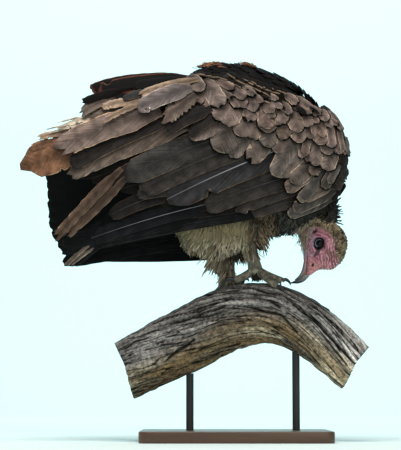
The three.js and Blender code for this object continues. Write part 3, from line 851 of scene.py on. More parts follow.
def sculpt_head(points, normals):
    """Folds, lids, ear, nostril and mouth line, as moves of the head's own surface."""
    m, out = face_marks(points), head_place(points)[2]
    f, d, side, level = m.f, m.d, np.sign(out), np.abs(out) / MM
    bare = smooth(-2, 3, m.past_hood)
    uneven = 0.5 + 0.5 * smooth(-0.2, 0.2, wobble(points, 90.0, 9.0))
    move = 0.6 * m.folds * m.zone * bare * (1 - m.below_eye) * uneven
    crown = smooth(16, 24, f) * smooth(12, 20, d) * smooth(37, 33, f)
    move += 0.5 * np.sin(2 * math.pi * (d + 0.5 * m.drift) / 4.2) * crown
    move += 0.22 * wobble(points, 900.0, 3.0) * bare + 0.35 * wobble(points, 320.0, 7.0)
    move += 0.7 * smooth(2.1, 1.5, m.ear) * smooth(0.9, 1.3, m.ear) - 3.0 * smooth(1.0, 0.4, m.ear)
    move += 0.3 * smooth(2.2, 1.5, m.nostril) * smooth(1.0, 1.4, m.nostril)
    move -= 1.3 * smooth(1.1, 0.5, m.nostril)
    move -= 0.7 * smooth(1.4, 0.3, m.gape) * smooth(16, 22, f) * smooth(46, 40, f)
    points = points + normals * move[:, None] * MM
    # The lids: a ring that closes on the eyeball, and inside it skin that stays behind the ball.
    ball = np.sqrt(np.clip((EYE_RADIUS / MM) ** 2 - (f + 0.5) ** 2 - (d - 1) ** 2, 0, None)) + EYE_OUT / MM
    ring = 0.8 * np.exp(-((m.lids - 1.5) / 0.22) ** 2)
    ring += 0.35 * np.sin(m.lids * 11) * smooth(2.4, 1.7, m.lids) * smooth(1.2, 1.5, m.lids)
    closed = np.minimum(ball + 0.9, level + 3)
    level = level + (closed - level) * smooth(1.9, 1.12, m.lids) + ring * (level > 12)
    level = np.where(m.lids < 1.0, ball - 1.6, level)
    facing = (m.lids < 2.4) & (level > 10)
    points[facing, 1] = (side * level * MM)[facing]
    return points


def tinted(base, colour, share):
    return base + (np.array(linear(colour)) - base) * np.reshape(share, (-1, 1))


def layered(base, count, layers):
    """A colour for each of so many points, with further colours laid over it, each with its shares."""
    colours = np.tile(linear(base), (count, 1))
    for colour, share in layers:
        colours = tinted(colours, colour, share)
    return colours


def face_colours(points):
    m = face_marks(points)
    f, d = m.f, m.d
    rough, patch, fine = wobble(points, 180.0), wobble(points, 90.0, 9.0), wobble(points, 420.0, 2.0)
    dark = wobble(points, 150.0, 4.0) + 0.6 * wobble(points, 380.0, 2.0)
    uneven = (0.35 + 0.65 * smooth(-0.2, 0.2, patch)) * (0.7 + 0.3 * smooth(6, 22, f + 0.3 * d))
    zone = m.zone * (1 - 0.9 * m.below_eye) * uneven
    smudge = np.hypot((f - 15.5) / 6.5, (d - 1.6 + 0.34 * (f - 15.5)) / 3.1)
    hood = smooth(3, -1, m.past_hood)
    return layered("#c78495", len(points), [
        ("#b39aa8", smooth(-4, -11, d) * 0.85),
        ("#7d6668", smooth(-14, -24, d) * 0.85),
        ("#5d3a3e", 0.8 * smooth(-9, -15, d) * smooth(0.0, 0.35, rough)),
        ("#93405a", 0.7 * smooth(0.0, 0.4, patch) * smooth(30, 22, f)),
        ("#d08f8e", smooth(24, 32, f) * 0.8),
        ("#6e2c3c", 0.45 * smooth(0.1, 0.45, fine)),
        # Painted highlights: small pale flecks over the skin.
        ("#f3d3dc", 0.4 * smooth(-0.2, -0.5, fine)),
        # Painted shade in the troughs of the folds and painted highlight on their crests.
        ("#4e1422", 0.95 * zone * smooth(-0.25, -0.8, m.folds)),
        ("#f0bcc6", 0.7 * zone * smooth(0.3, 1.0, m.folds)),
        ("#76524a", 0.8 * smooth(-0.2, 0.2, rough) * smooth(9, 16, d) * smooth(0, 9, f)),
        ("#453b42", 0.9 * smooth(1.2, 0.8, smudge)),
        # Painted shade: the ear opening is near-black.
        ("#140a0c", smooth(1.25, 0.8, m.ear)),
        ("#7b2f45", 0.6 * smooth(2.3, 1.4, m.ear) * smooth(0.9, 1.2, m.ear)),
        # Painted shade: the nostril opening is near-black.
        ("#0b0506", smooth(1.5, 1.1, m.nostril)),
        ("#4a2a30", 0.8 * smooth(1.3, 0.5, m.gape) * smooth(16, 24, f)),
        ("#0b0b0d", smooth(1.42, 1.26, m.lids)),
        ("#75614a", hood),
        ("#33241a", hood * smooth(0.0, 0.25, dark)),
    ])


def skin_colours(points):
    forward, dorsal, out = head_place(points)
    ratio, x, z = head_ratio(forward, dorsal, out)[0], points[:, 0], points[:, 2]
    leg = smooth(0.335, 0.318, z) * (ratio > 1.3) * (x < 0.085)
    thigh = smooth(0.31, 0.33, z) * smooth(0.40, 0.385, z) * (x < 0.1)
    patchy = np.zeros(len(points))
    patchy[leg > 0] = wobble(points[leg > 0], 170.0, 5.0) + 0.5 * wobble(points[leg > 0], 480.0, 1.0)
    colours = layered("#1a1716", len(points), [
        ("#6b6658", leg),
        ("#37332a", 0.6 * leg * smooth(0.0, 0.35, patchy)),
        ("#9b9686", 0.6 * leg * smooth(-0.05, -0.4, patchy) * smooth(0.30, 0.28, z)),
        ("#4a4536", 0.8 * thigh),
    ])
    head = smooth(-44, -34, forward / MM) * smooth(1.5, 1.25, ratio)
    on_head = head > 0
    colours[on_head] += (face_colours(points[on_head]) - colours[on_head]) * head[on_head, None]
    return colours


def make_skin():
    parts = [flesh(name, depth) for name, depth in COAT_DEPTH.items()]
    bpy.ops.object.select_all(action="DESELECT")
    for part in parts:
        part.select_set(True)
    bpy.context.view_layer.objects.active = parts[0]
    bpy.ops.object.join()
    skin = bpy.context.active_object
    skin.name = skin.data.name = "skin"
    skin.data.materials.clear()
    apply_modifier(skin, "REMESH", mode="VOXEL", voxel_size=VOXEL, use_smooth_shade=True)
    # Smooth it everywhere but on the head and the feet.
    group = skin.vertex_groups.new(name="body")
    points = coordinates(skin)
    kept = near_head(points, -46 * MM, 1.4) | (points[:, 2] < SHANK_TOP)
    group.add([int(i) for i in np.nonzero(~kept)[0]], 1.0, "REPLACE")
    apply_modifier(skin, "SMOOTH", factor=0.6, iterations=12, vertex_group="body")
    skin.vertex_groups.clear()
    # Bare skin needs more vertices, most of all round the eyes.
    refine(skin, near_head(coordinates(skin), -44 * MM, 1.3), 2)
    points = coordinates(skin)
    forward, dorsal, out = head_place(points)
    by_eye = (np.hypot(forward, dorsal) < 15 * MM) & (np.abs(out) > 12 * MM)
    refine(skin, near_head(points, -20 * MM, 1.2) & by_eye, 1)
    refine(skin, coordinates(skin)[:, 2] < 0.30, 1)
    # Bring the head onto the surface of its table.
    points = coordinates(skin)
    forward, dorsal, out = head_place(points)
    ratio, to_dorsal, to_out = head_ratio(forward, dorsal, out)
    share = smooth(-42 * MM, -30 * MM, forward) * smooth(1.45, 1.2, ratio) * (forward < 50.4 * MM)
    points += (head_point(forward, to_dorsal, to_out) - points) * share[:, None]
    # Hold the breast back.
    front = np.interp(points[:, 2], BREAST_LIMIT[:, 1], BREAST_LIMIT[:, 0])
    above = (points[:, 2] > BREAST_LIMIT[0, 1]) & (share == 0)
    points[above, 0] = np.minimum(points[above, 0], front[above])
    low = np.nonzero((points[:, 2] < 0.335) & (share == 0))[0]
    # Bring the legs onto their limbs. Each takes the skin on its own side, and a little past the middle.
    for side, past in ((RIGHT, 8 * MM), (LEFT, 0.5 * MM)):
        own = low[points[low, 1] * side > -past]
        gap, way = to_limbs(points[own], side)
        pull = smooth(5 * MM, 3 * MM, np.abs(gap)) * smooth(0.325, 0.305, points[own, 2])
        points[own] -= way * (gap * pull)[:, None]
    reshape(skin, points)
    normals = vertex_normals(skin)
    chosen = np.nonzero(share > 0.01)[0]
    sculpted = sculpt_head(points[chosen], normals[chosen])
    points[chosen] += (sculpted - points[chosen]) * share[chosen, None]
    reshape(skin, points)
    paint(skin, "hide", skin_colours(points))
    skin.data.materials.append(BARE_SKIN)
    skin.data.polygons.foreach_set("use_smooth", np.ones(len(skin.data.polygons), bool))
    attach(skin, "root")
    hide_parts(*COAT_DEPTH)
    return skin


SKIN = make_skin()
SKIN_TREE = BVHTree.FromPolygons(
    [tuple(c) for c in coordinates(SKIN)], [tuple(p.vertices) for p in SKIN.data.polygons])


# ---- long feathers of the wings ----
# Vanes by how many cells they have along and across.
LONG_FORM = vane_template(22, 8)
COVERT_FORM = vane_template(9, 8)
BODY_FORM = vane_template(4, 4)
STRAND_FORM = vane_template(4, 1)

PLUMAGE, WEAR = -2, -1  # the last columns of the feather tables

# root x and z, tip x and z, width, lift off the flank at root and tip, bow, plumage, wear
SCAPULARS = [
    (-215, 514, -292, 497, 16, -1, 2, 2, "pale", 0.8),
    (-230, 502, -305, 489, 12, 0, 3, 2, "pale", 0.7),
    (-262, 488, -318, 480, 13, 0, 3, 2, "tan", 0.5),
    (-285, 475, -331, 461, 15, 1, 4, 2, "rufous", 0.4),
    (-248, 464, -342, 429, 62, 1, 6, 2, "rufous", 0.3),
    (-195, 552, -249, 514, 26, 2, 6, 4, "brown", 0.35),
    (-182, 559, -245, 541, 15, 1, 4, 2, "raised", 0.1),
    (-150, 531, -236, 508, 28, -1, 2, 3, "brown", 0.2),
    (-142, 534, -216, 528, 19, 5, 8, 3, "tan", 0.3),
    (-117, 515, -286, 457, 46, 5, 10, 7, "tan_grey", 0.14),
    (-140, 551, -179, 540, 17, 6, 9, 2, "tertial", 0.08),
    (-151, 527, -210, 499, 12, 9, 12, 3, "tan", 0.4),
    (-85, 513, -262, 432, 34, -2, 8, 6, "tertial", 0.04),
    (-75, 492, -268, 418, 41, -4, 5, 7, "brown", 0.1),
    (16, 480, -177, 409, 48, -6, 4.5, 7, "slate_brown", 0.06),
    (-30, 470, -200, 402, 30, -8, 1, 7, "tertial", 0.06),
    (-58, 567, -154, 545, 17, 8, 10, 4, "tan", 0.12),
    (-27, 490, -72, 468, 28, 3, 6, 2, "covert", 0.15),
    (-29, 508, -73, 472, 19, 5, 8, 2, "tertial", 0.08),
    (-38, 517, -109, 482, 27, 7, 10, 4, "tertial", 0.05),
    (-62, 540, -116, 494, 30, 9, 12, 2, "brown", 0.4),
    (-69, 552, -155, 517, 32, 11, 15, 5, "lilac", 0.04),
]
SECONDARIES = [
    (108, 375, 23, 350, 22, -4.5, -1.5, 3, "secondary", 0.05),
    (116, 400, -2, 357, 28, -4, -0.5, 4, "secondary", 0.05),
    (116, 417, -50, 361, 38, -3.5, 0.5, 5, "secondary", 0.05),
    (92, 461, -109, 374, 54, -3, 2, 3, "shafted", 0.04),
    (-40, 396, -156, 383, 24, -5, 0.5, 3, "secondary", 0.05),
    (50, 471, -150, 390, 44, -2.5, 3.2, 6, "secondary", 0.05),
]
PRIMARIES = [
    (-60, 342, -281, 301, 26, -10, -9, 3, "primary", 0.04),
    (-60, 348, -274, 310, 28, -9, -8, 3, "primary", 0.04),
    (-38, 369, -227, 318, 28, -7, -6, 3, "primary_shaft", 0.04),
    (-38, 363, -178, 336, 24, -8, -7, 3, "primary_shaft", 0.04),
    (-93, 388, -199, 351, 28, -5, -3, 5, "primary_brown", 0.04),
]
SLIPPED = [
    (-178, 425, -287, 314, 19, 3, 7, 2, "primary_worn", 0.2),
    (-166, 416, -272, 317, 17, 2, 6, -2, "primary_worn", 0.2),
    (-222, 318, -270, 275, 9, -8, -6, 0, "worn_tip", 0.25),
    (-208, 312, -255, 275, 10, -8, -7, 0, "primary", 0.15),
    (-218, 308, -262, 277, 7, -8, -8, 0, "worn_tip", 0.25),
]
# The far wing's lowest primaries show below the near wing.
FAR_PRIMARIES = [
    (30, 328, -250, 316, 30, -9, -9, -3, "primary", 0.03),
    (30, 346, -264, 330, 36, -9, -8, 0, "primary", 0.03),
    (40, 368, -272, 348, 40, -8, -8, 0, "primary", 0.03),
]
# The raised far scapulars: root, middle, tip, width and plumage.
RAISED = [
    ((-72, 36, 580), (-135, 39, 578), (-218, 36, 560), 30, "mantle"),
    ((-165, 34, 573), (-205, 36, 566), (-251, 33, 550), 12, "raised"),
    ((-53, 54, 592), (-190, 58, 599), (-236, 54, 572), 26, "raised"),
    ((-51, 41, 586), (-160, 43, 590), (-223, 39, 567), 36, "raised"),
    ((-58, 32, 583), (-110, 34, 584), (-164, 33, 575), 26, "mantle"),
]


def fan_rows(roots, tips, count, width, lift, bow, plume, wear):
    """Rows of a fan between its first and last root and tip."""
    t = np.linspace(0, 1, count)
    root, tip = on_line(roots, t), on_line(tips, t)
    return [(*root[i], *tip[i], width, lift, lift - 1 + i / count, bow, plume, wear) for i in range(count)]


# The dark layers below them, whose darkness is painted shade where they show between the feathers
# over them: rows of a fan from first to last root and tip.
UNDER_SECONDARIES = fan_rows(
    [(96, 402), (34, 440), (-62, 506)], [(-96, 366), (-170, 396), (-262, 424)],
    9, 50, -8, -6, "under_dark", 0.06)
UNDER_PRIMARIES = fan_rows(
    [(110, 372), (100, 377), (84, 388)], [(-272, 306), (-246, 318), (-190, 352)],
    6, 38, -11, 6, "primary", 0.05)
UNDER_SCAPULARS = fan_rows(
    [(-70, 500), (-62, 520), (-50, 544)], [(-262, 444), (-290, 470), (-232, 510)],
    8, 44, -6, 5, "under_dark", 0.08)


def long_feathers(name, side, rows, node_name):
    drop = 0.0
    if side == LEFT:
        rows = [row for row in rows if row[PLUMAGE] not in ("rufous", "pale")]
        drop = LEFT_DROP
    table = np.array([row[:8] for row in rows]) * MM
    table[:, [1, 3]] -= drop
    roots, tips, width, lift, bow = table[:, :2], table[:, 2:4], table[:, 4], table[:, 5:7], table[:, 7]
    wear = np.array([row[WEAR] for row in rows])
    tone, trim = plume_colours([row[PLUMAGE] for row in rows], 0.05)
    long = np.linalg.norm(tips - roots, axis=1)
    outline = vane_outline(
        LONG_FORM, len(rows), np.clip(0.6 * width / long, 0.03, 0.35), 0.14, 0.45, wear * 0.7, 0.12)
    points = flank_vanes(
        LONG_FORM, side, roots, tips, -bow, width, lift, outline, 1.2 * MM, 0.7 * MM, 2.0 * MM, drop)
    obj = feather_mesh(name, LONG_FORM, points, outline[0], tone, trim, FLIGHT_VANE, tips)
    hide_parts(node_name)


def make_long_feathers():
    for side, label in SIDES.items():
        lowest = SLIPPED if side == RIGHT else FAR_PRIMARIES
        for group, rows, slot in (
                ("scapulars", UNDER_SCAPULARS + SCAPULARS, "scapular_feathers"),
                ("secondaries", UNDER_SECONDARIES + SECONDARIES, "flight_feathers"),
                ("primaries", UNDER_PRIMARIES + PRIMARIES + lowest, "flight_feathers")):
            long_feathers(f"{group}_{label}", side, rows, f"wing_{label}_{group}")


def lone_feathers(name, rows, facing, names, material, node_name, wear):
    """Long feathers in the open, each from its root, middle, tip and width."""
    start, middle, end = (np.array([row[k] for row in rows]) * MM for k in range(3))
    width = np.array([row[3] for row in rows]) * MM
    long = np.linalg.norm(end - start, axis=1)
    outline = vane_outline(
        LONG_FORM, len(rows), np.clip(0.4 * width / long, 0.03, 0.3), 0.1, 0.4, wear, 0.15)
    tone, trim = plume_colours(names, 0.05)
    facings = np.tile(unit(facing), (len(rows), 1))
    points = free_vanes(LONG_FORM, start, middle, end, facings, width, outline, 2 * MM, 0.7 * MM)
    obj = feather_mesh(name, LONG_FORM, points, outline[0], tone, trim, material, end[:, [0, 2]])
    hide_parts(node_name)


def make_tail():
    """A fan seen from its side, its middle feathers longest."""
    line, rows = unit((0, 0.64, -0.77)), []
    for k, t in enumerate(np.linspace(-1, 1, 8)):
        layer = np.array([0, -0.77, -0.64]) * (k - 4) * 0.9
        root = np.array([-62, 6, 440]) + 16 * t * line + layer
        tip = np.array([-302 + 6 * t**2 + 7 * t**3, 25, 368]) + 66 * t * line + layer
        rows.append((root, (root + tip) / 2 + (0, 0, -3), tip, 48))
    lone_feathers(
        "tail_feathers", rows, (-0.2, -0.77, -0.64), ["tail"] * len(rows), FLIGHT_VANE,
        "tail", 0.02)


def make_raised():
    lone_feathers(
        "scapulars_raised", RAISED, (0.05, -0.85, 0.5), [row[4] for row in RAISED], RUFOUS_VANE,
        "wing_left_scapulars_raised", 0.04)


# ---- coverts ----
# The larger coverts one by one: root x and z, tip x and z, width, lift of the tip, plumage, wear.
COVERTS = [
    (-44, 558, -22, 518, 27, 8, "greyscap", 0.12),
    (-68, 573, -52, 545, 20, 9, "greyscap", 0.12),
    (-59, 549, -59, 522, 22, 7, "covert", 0.25),
    (-46, 544, -45, 518, 11, 6, "covert", 0.1),
    (50, 518, 47, 481, 27, 8, "covert", 0.06),
    (51, 511, 47, 475, 28, 7, "covert_dark", 0.06),
    (-6, 551, 17, 532, 15, 8, "covert", 0.15),
    (-29, 567, -2, 547, 12, 9, "covert", 0.15),
    (-2, 536, 16, 517, 19, 7, "covert", 0.25),
    (13, 533, 37, 512, 19, 7, "covert", 0.25),
    (21, 539, 42, 524, 14, 8, "covert", 0.25),
    (41, 523, 61, 508, 16, 7, "covert", 0.2),
    (39, 517, 60, 500, 17, 6, "covert", 0.25),
    (-29, 558, -7, 531, 12, 7, "covert", 0.25),
    (-7, 534, 4, 516, 13, 6, "covert", 0.2),
    (5, 553, 31, 536, 11, 9, "covert", 0.15),
    (45, 525, 59, 509, 18, 8, "covert", 0.15),
    (51, 514, 57, 499, 18, 7, "covert", 0.2),
    (66, 514, 76, 490, 18, 8, "covert", 0.1),
    (61, 506, 69, 487, 20, 7, "covert", 0.2),
    (78, 491, 69, 465, 21, 6, "brown", 0.12),
    (82, 538, 96, 522, 14, 8, "covert", 0.2),
    (92, 523, 117, 508, 12, 8, "covert", 0.25),
    (74, 523, 85, 505, 13, 8, "covert", 0.15),
    (87, 508, 99, 477, 23, 9, "covert", 0.2),
    (107, 505, 115, 486, 20, 8, "covert", 0.2),
    (95, 489, 98, 460, 23, 7, "covert", 0.06),
    (113, 488, 118, 467, 15, 6, "covert_dark", 0.15),
    (127, 495, 133, 458, 23, 8, "covert", 0.12),
    (133, 489, 135, 471, 13, 9, "covert", 0.2),
    (118, 504, 129, 494, 11, 8, "covert", 0.2),
    (136, 515, 142, 497, 16, 8, "covert", 0.15),
    (145, 494, 150, 455, 15, 8, "covert", 0.1),
    (159, 482, 159, 446, 10, 8, "covert", 0.1),
    (165, 488, 170, 452, 9, 8, "covert", 0.15),
    (173, 476, 180, 452, 7, 7, "covert", 0.15),
    (113, 516, 132, 508, 10, 8, "covert", 0.25),
    (120, 522, 135, 513, 10, 8, "covert", 0.2),
    (145, 503, 162, 495, 9, 8, "covert", 0.2),
    (97, 532, 120, 513, 15, 7, "covert", 0.2),
    (45, 542, 66, 529, 9, 8, "covert", 0.15),
    (47, 531, 73, 516, 10, 8, "covert", 0.15),
    (153, 513, 168, 486, 10, 7, "covert", 0.2),
    (141, 505, 150, 488, 13, 7, "covert", 0.2),
    (57, 486, 48, 452, 27, 7, "greater", 0.05),
    (77, 472, 59, 445, 22, 6, "covert", 0.06),
    (89, 461, 59, 406, 27, 8, "greater", 0.05),
    (104, 447, 68, 406, 18, 7, "greater", 0.08),
    (117, 430, 84, 398, 24, 7, "greater", 0.08),
    (114, 415, 75, 386, 21, 6, "covert_dark", 0.06),
    (127, 461, 124, 424, 19, 7, "covert", 0.12),
    (149, 448, 138, 419, 25, 8, "covert", 0.05),
    (140, 465, 144, 443, 19, 9, "covert", 0.08),
    (146, 476, 151, 455, 14, 9, "covert", 0.1),
    (160, 476, 161, 446, 9, 9, "covert", 0.08),
    (110, 467, 106, 440, 12, 8, "covert", 0.15),
    (113, 449, 111, 430, 11, 7, "covert", 0.2),
    (100, 458, 102, 436, 10, 8, "covert", 0.1),
    (125, 425, 115, 411, 17, 7, "brown", 0.25),
    (138, 421, 99, 372, 16, 5, "slate", 0.04),
    (144, 421, 95, 370, 15, 4, "greater", 0.06),
    (156, 427, 135, 391, 16, 6, "slate", 0.06),
    (140, 392, 105, 372, 12, 4, "brown", 0.08),
    (139, 384, 87, 358, 20, 3, "slate", 0.04),
    (133, 372, 79, 349, 17, 2, "slate", 0.04),
    (160, 430, 144, 399, 11, 6, "covert_dark", 0.1),
    (169, 476, 170, 448, 7, 7, "covert", 0.12),
    (177, 474, 178, 448, 7, 6, "covert_dark", 0.15),
    (-15, 523, -32, 497, 29, 7, "covert", 0.12),
    (-1, 518, -16, 487, 30, 6, "covert", 0.12),
    (-2, 497, -28, 446, 45, 3.5, "greater", 0.04),
    (20, 501, 2, 471, 31, 5.5, "covert", 0.1),
    (20, 516, 22, 492, 22, 7.5, "covert", 0.35),
    (35, 496, 25, 465, 23, 4.5, "brown", 0.15),
    (20, 472, -9, 438, 23, 2.5, "greater", 0.15),
    (44, 462, 18, 431, 30, 3.5, "brown", 0.3),
]

# The upper edge of the band of small coverts, where the mantle ends: x and z.
BAND_TOP = np.array([(-48, 579), (-21, 576), (7, 567), (35, 554), (56, 543), (77, 531), (100, 514)]) * MM
# Lower edges of the four long lines of small coverts over the top of the wing.
BAND_LINES = [
    [(7, 570), (26, 559), (46, 551), (66, 546), (79, 540)],
    [(13, 563), (33, 553), (51, 546), (69, 540)],
    [(-11, 576), (2, 565), (20, 553), (35, 546), (50, 537), (65, 530)],
    [(-61, 579), (-43, 574), (-31, 572), (-13, 564), (1, 555), (15, 546), (30, 536), (45, 528), (62, 520),
     (77, 509)],
]
# Ends of the tract's under layer from elbow to wrist: where it starts, bends and ends.
TRACT_TOP = np.array([
    (-70, 552), (-32, 560), (14, 552), (61, 530), (100, 505), (134, 480), (160, 450), (174, 425)]) * MM
TRACT_BEND = np.array([
    (-70, 535), (-24, 520), (26, 500), (66, 480), (97, 460), (124, 440), (148, 424), (164, 410)]) * MM
TRACT_END = np.array([
    (-84, 505), (-34, 474), (6, 452), (44, 432), (72, 408), (90, 378), (118, 372), (146, 384)]) * MM
COVERT_ROWS = 8
COVERT_FULLNESS = 1.12  # how much wider coverts are than their tables say, so that they overlap


def length_of(line):
    return np.linalg.norm(np.diff(line, axis=0), axis=1).sum()


def covert_rows():
    """The under layer: root, tip, width, tip lift, plumage and wear of each covert, row by row."""
    rows = []
    whole = length_of(on_line(TRACT_TOP, np.linspace(0, 1, 60))) / MM
    for row in range(COVERT_ROWS):
        share = row / (COVERT_ROWS - 1)
        width = 16 + 12 * share
        count = int(whole / (width * 0.6))
        for k in range(count + 1):
            along = float(np.clip((k + 0.5 * (row % 2) + RNG.normal(0, 0.12)) / count, 0, 1))
            small = 1 - 0.3 * float(smooth(0.72, 1.0, along))
            ends = [on_line(line, np.array([along]))[0] / MM for line in (TRACT_TOP, TRACT_BEND, TRACT_END)]
            down = np.array([0.92 * share - 0.08, 0.92 * share - 0.08 + 0.36])[:, None]
            root, tip = (1 - down) ** 2 * ends[0] + 2 * down * (1 - down) * ends[1] + down**2 * ends[2]
            tip = tip + RNG.normal(0, 1.5, 2)
            # Painted shade: the under layer is darker than the coverts over it, darkest in its lowest rows.
            name = "under_dark" if share > 0.7 else "under_covert"
            deep = -5.5 if share > 0.6 else -2.5
            rows.append((*root, *tip, width * small * RNG.normal(1.1, 0.07), deep, name, 0.15))
    for share in np.linspace(0, 1, 5):
        x, z = 152 + 20 * math.sin(share * 1.8), 520 - 64 * share
        rows.append((x - 10 * (1 - share), z, x + 6 - 10 * share, z - 26, 18, 0, "under_covert", 0.3))
    return rows


def band_rows():
    """Small coverts end to end in lines over the top of the wing: dark ones, each with a pale lower edge."""
    rows = []
    for line in BAND_LINES:
        count = int(length_of(line) / 13)
        for k in range(count):
            root, tip = on_line(line, np.array([max(k - 0.5, 0), k + 1.0]) / count)
            up = np.array([tip[1] - root[1], root[0] - tip[0]]) / np.linalg.norm(tip - root)
            up = up * np.sign(up[1])
            rows.append((*(root + 3.2 * up), *(tip + 2.4 * up), 6.5, 6.5, "band_dark", 0.05))
            rows.append((*(root + 0.3 * up), *(tip - 0.5 * up), 2.0, 7.6, "band_edge", 0.05))
    return rows


def lay_coverts(name, side, rows, base, node_name):
    """Coverts on the flank. Base is the lift of their roots."""
    drop = 0.0
    if side == LEFT:
        rows = [row for row in rows if row[3] > 392 and row[1] > 420]
        drop = LEFT_DROP
    table = np.array([row[:6] for row in rows]) * MM
    roots, tips, widths, lifts = table[:, :2], table[:, 2:4], table[:, 4] * COVERT_FULLNESS, table[:, 5]
    roots = roots + (roots - tips) * 0.3
    for ends in (roots, tips):
        ends[:, 1] -= drop
    count = len(rows)
    long = np.linalg.norm(tips - roots, axis=1)
    tone, trim = plume_colours([row[PLUMAGE] for row in rows], 0.12)
    # Painted shade: the higher coverts, which face the light above, are darkened more the higher they reach.
    painted_shade_higher_up = np.interp(tips[:, 1] / MM, [490, 545], [0.96, 0.75])[:, None]
    tone[:, :3] *= painted_shade_higher_up
    trim[:, :3] *= painted_shade_higher_up
    wear = np.array([row[WEAR] for row in rows]) * 0.6
    outline = vane_outline(
        COVERT_FORM, count, np.clip(0.5 * widths / long, 0.06, 0.6), 0.05, 0.45, wear, 0.08)
    lift = np.stack([np.full(count, base) * MM, lifts], 1)
    points = flank_vanes(
        COVERT_FORM, side, roots, tips, RNG.normal(0, 0.8, count) * MM, widths, lift, outline,
        (0.06 * widths + 0.4 * MM), 0.5 * MM, RNG.normal(0, 0.4, count) * MM, drop,
        RNG.normal(-0.2, 0.4, count) * MM)
    obj = feather_mesh(name, COVERT_FORM, points, outline[0], tone, trim, COVERT_VANE, tips)
    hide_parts(node_name)


def make_coverts(side, label):
    """The visible coverts over their under layer, and under each visible covert a near-black sheet that
    shows as a dark line along its edge: painted shadow.
    """
    shown = [(*row[:5], row[5] * 1.25, *row[6:]) for row in COVERTS]
    painted_shadow_sheets = []
    # Painted shadow: under each covert a slightly larger, lower, near-black sheet that shows along its edge.
    for x, z, tip_x, tip_z, width, lift, _, wear in shown:
        along = np.array([tip_x - x, tip_z - z]) / math.hypot(tip_x - x, tip_z - z)
        painted_shadow_sheets.append((x, z, *(np.array([tip_x, tip_z]) + 1.5 * along), width + 3, lift - 2.4, "gap", wear))
    node_name = f"wing_{label}_coverts"
    lay_coverts(f"coverts_{label}", side, band_rows() + shown, -3.0, node_name)
    lay_coverts(f"under_coverts_{label}", side, covert_rows() + painted_shadow_sheets, -6.0, node_name)


make_long_feathers()
make_tail()
make_raised()
for wing_side, wing_label in SIDES.items():
    make_coverts(wing_side, wing_label)


# ---- bill, eyes and claws ----
def tube(name, sides, rings, caps, material, rounded=False):
    """A sphere to be drawn out into a closed tube: the object, how far along it each vertex lies, its turn
    about the tube and its share of the tube's radius, which falls to nothing over the rings of its caps."""
    obj = start_from(
        name, bpy.ops.mesh.primitive_uv_sphere_add, segments=sides, ring_count=rings, radius=1)
    bpy.ops.object.shade_smooth()
    obj.data.materials.append(material)
    co = coordinates(obj)
    t = np.arccos(np.clip(co[:, 2], -1, 1)) / math.pi
    cap = caps / rings
    share = np.minimum(np.minimum(t, 1 - t) / cap, 1)
    if rounded:
        share = np.sin(share * math.pi / 2)
    share[np.minimum(t, 1 - t) < 0.3 / rings] = 0
    return obj, np.clip((t - cap) / (1 - 2 * cap), 0, 1), np.arctan2(co[:, 1], co[:, 0]), share


def finish_piece(obj, slot, *nodes):
    edit_whole(obj, bpy.ops.mesh.normals_make_consistent, inside=False)
    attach(obj, "root")
    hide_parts(*nodes)


def make_bill(name, table, tip):
    obj, along, turn, share = tube(name, 32, 44, 5, BILL_HORN, rounded=True)
    forward = table[0, 0] + (table[-1, 0] - table[0, 0]) * along
    top, bottom, half = table_at(table, forward).T
    share = np.where(along > 0.5, share, np.minimum(share * 1.4, 1))
    middle, rise = (top + bottom) / 2, (top - bottom) / 2
    dorsal = middle + rise * share * np.cos(turn)
    out = half * share * np.sin(turn) * (1 - 0.12 * np.cos(turn))
    forward = forward + tip * (1 - share) * (along > 0.5)
    reshape(obj, head_point(forward, dorsal, out))
    far = (forward - 51 * MM) / (20 * MM)
    colours = [("#67656a", smooth(0.05, 0.55, far)), ("#20242a", smooth(0.45, 0.95, far))]
    if name == "bill_lower":
        colours.append(("#a58a92", smooth(48 * MM, 34 * MM, forward)))
        colours.append(("#1b1a1d", 0.9 * smooth(-0.55, -0.85, np.cos(turn))))
    else:
        colours.append(("#201f22", 0.85 * smooth(0.7, 0.93, np.cos(turn)) * smooth(0.1, 0.3, far)))
    paint(obj, "tone", layered("#8b8078", len(forward), colours))
    finish_piece(obj, "horn", name)


def make_eye(side, label):
    eye = start_from(
        f"eyeball_{label}", bpy.ops.mesh.primitive_uv_sphere_add,
        segments=48, ring_count=32, radius=EYE_RADIUS)
    bpy.ops.object.shade_smooth()
    eye.data.materials.append(EYEBALL)
    co = coordinates(eye)
    turned = np.stack([co[:, 0], side * co[:, 2], co[:, 1]], 1)
    reshape(eye, turned + head_point(EYE_FORWARD, EYE_DORSAL, side * EYE_OUT))
    spread = np.hypot(turned[:, 0], turned[:, 2]) / MM
    # The side of the eye towards the back and top, which carries the painted reflection.
    upper = (0.5 * turned[:, 2] - 0.85 * turned[:, 0]) / MM / np.maximum(spread, 0.1)
    paint(eye, "tone", layered("#050506", len(co), [
        ("#150e0b", smooth(3.4, 3.8, spread)),
        # Painted reflection: a blue-grey crescent on that side.
        ("#7b8aa8", smooth(5.5, 5.9, spread) * smooth(-0.3, 0.4, upper)),
        ("#08080a", smooth(6.6, 7.0, spread)),
    ]))
    finish_piece(eye, "eye", f"eye_{label}")


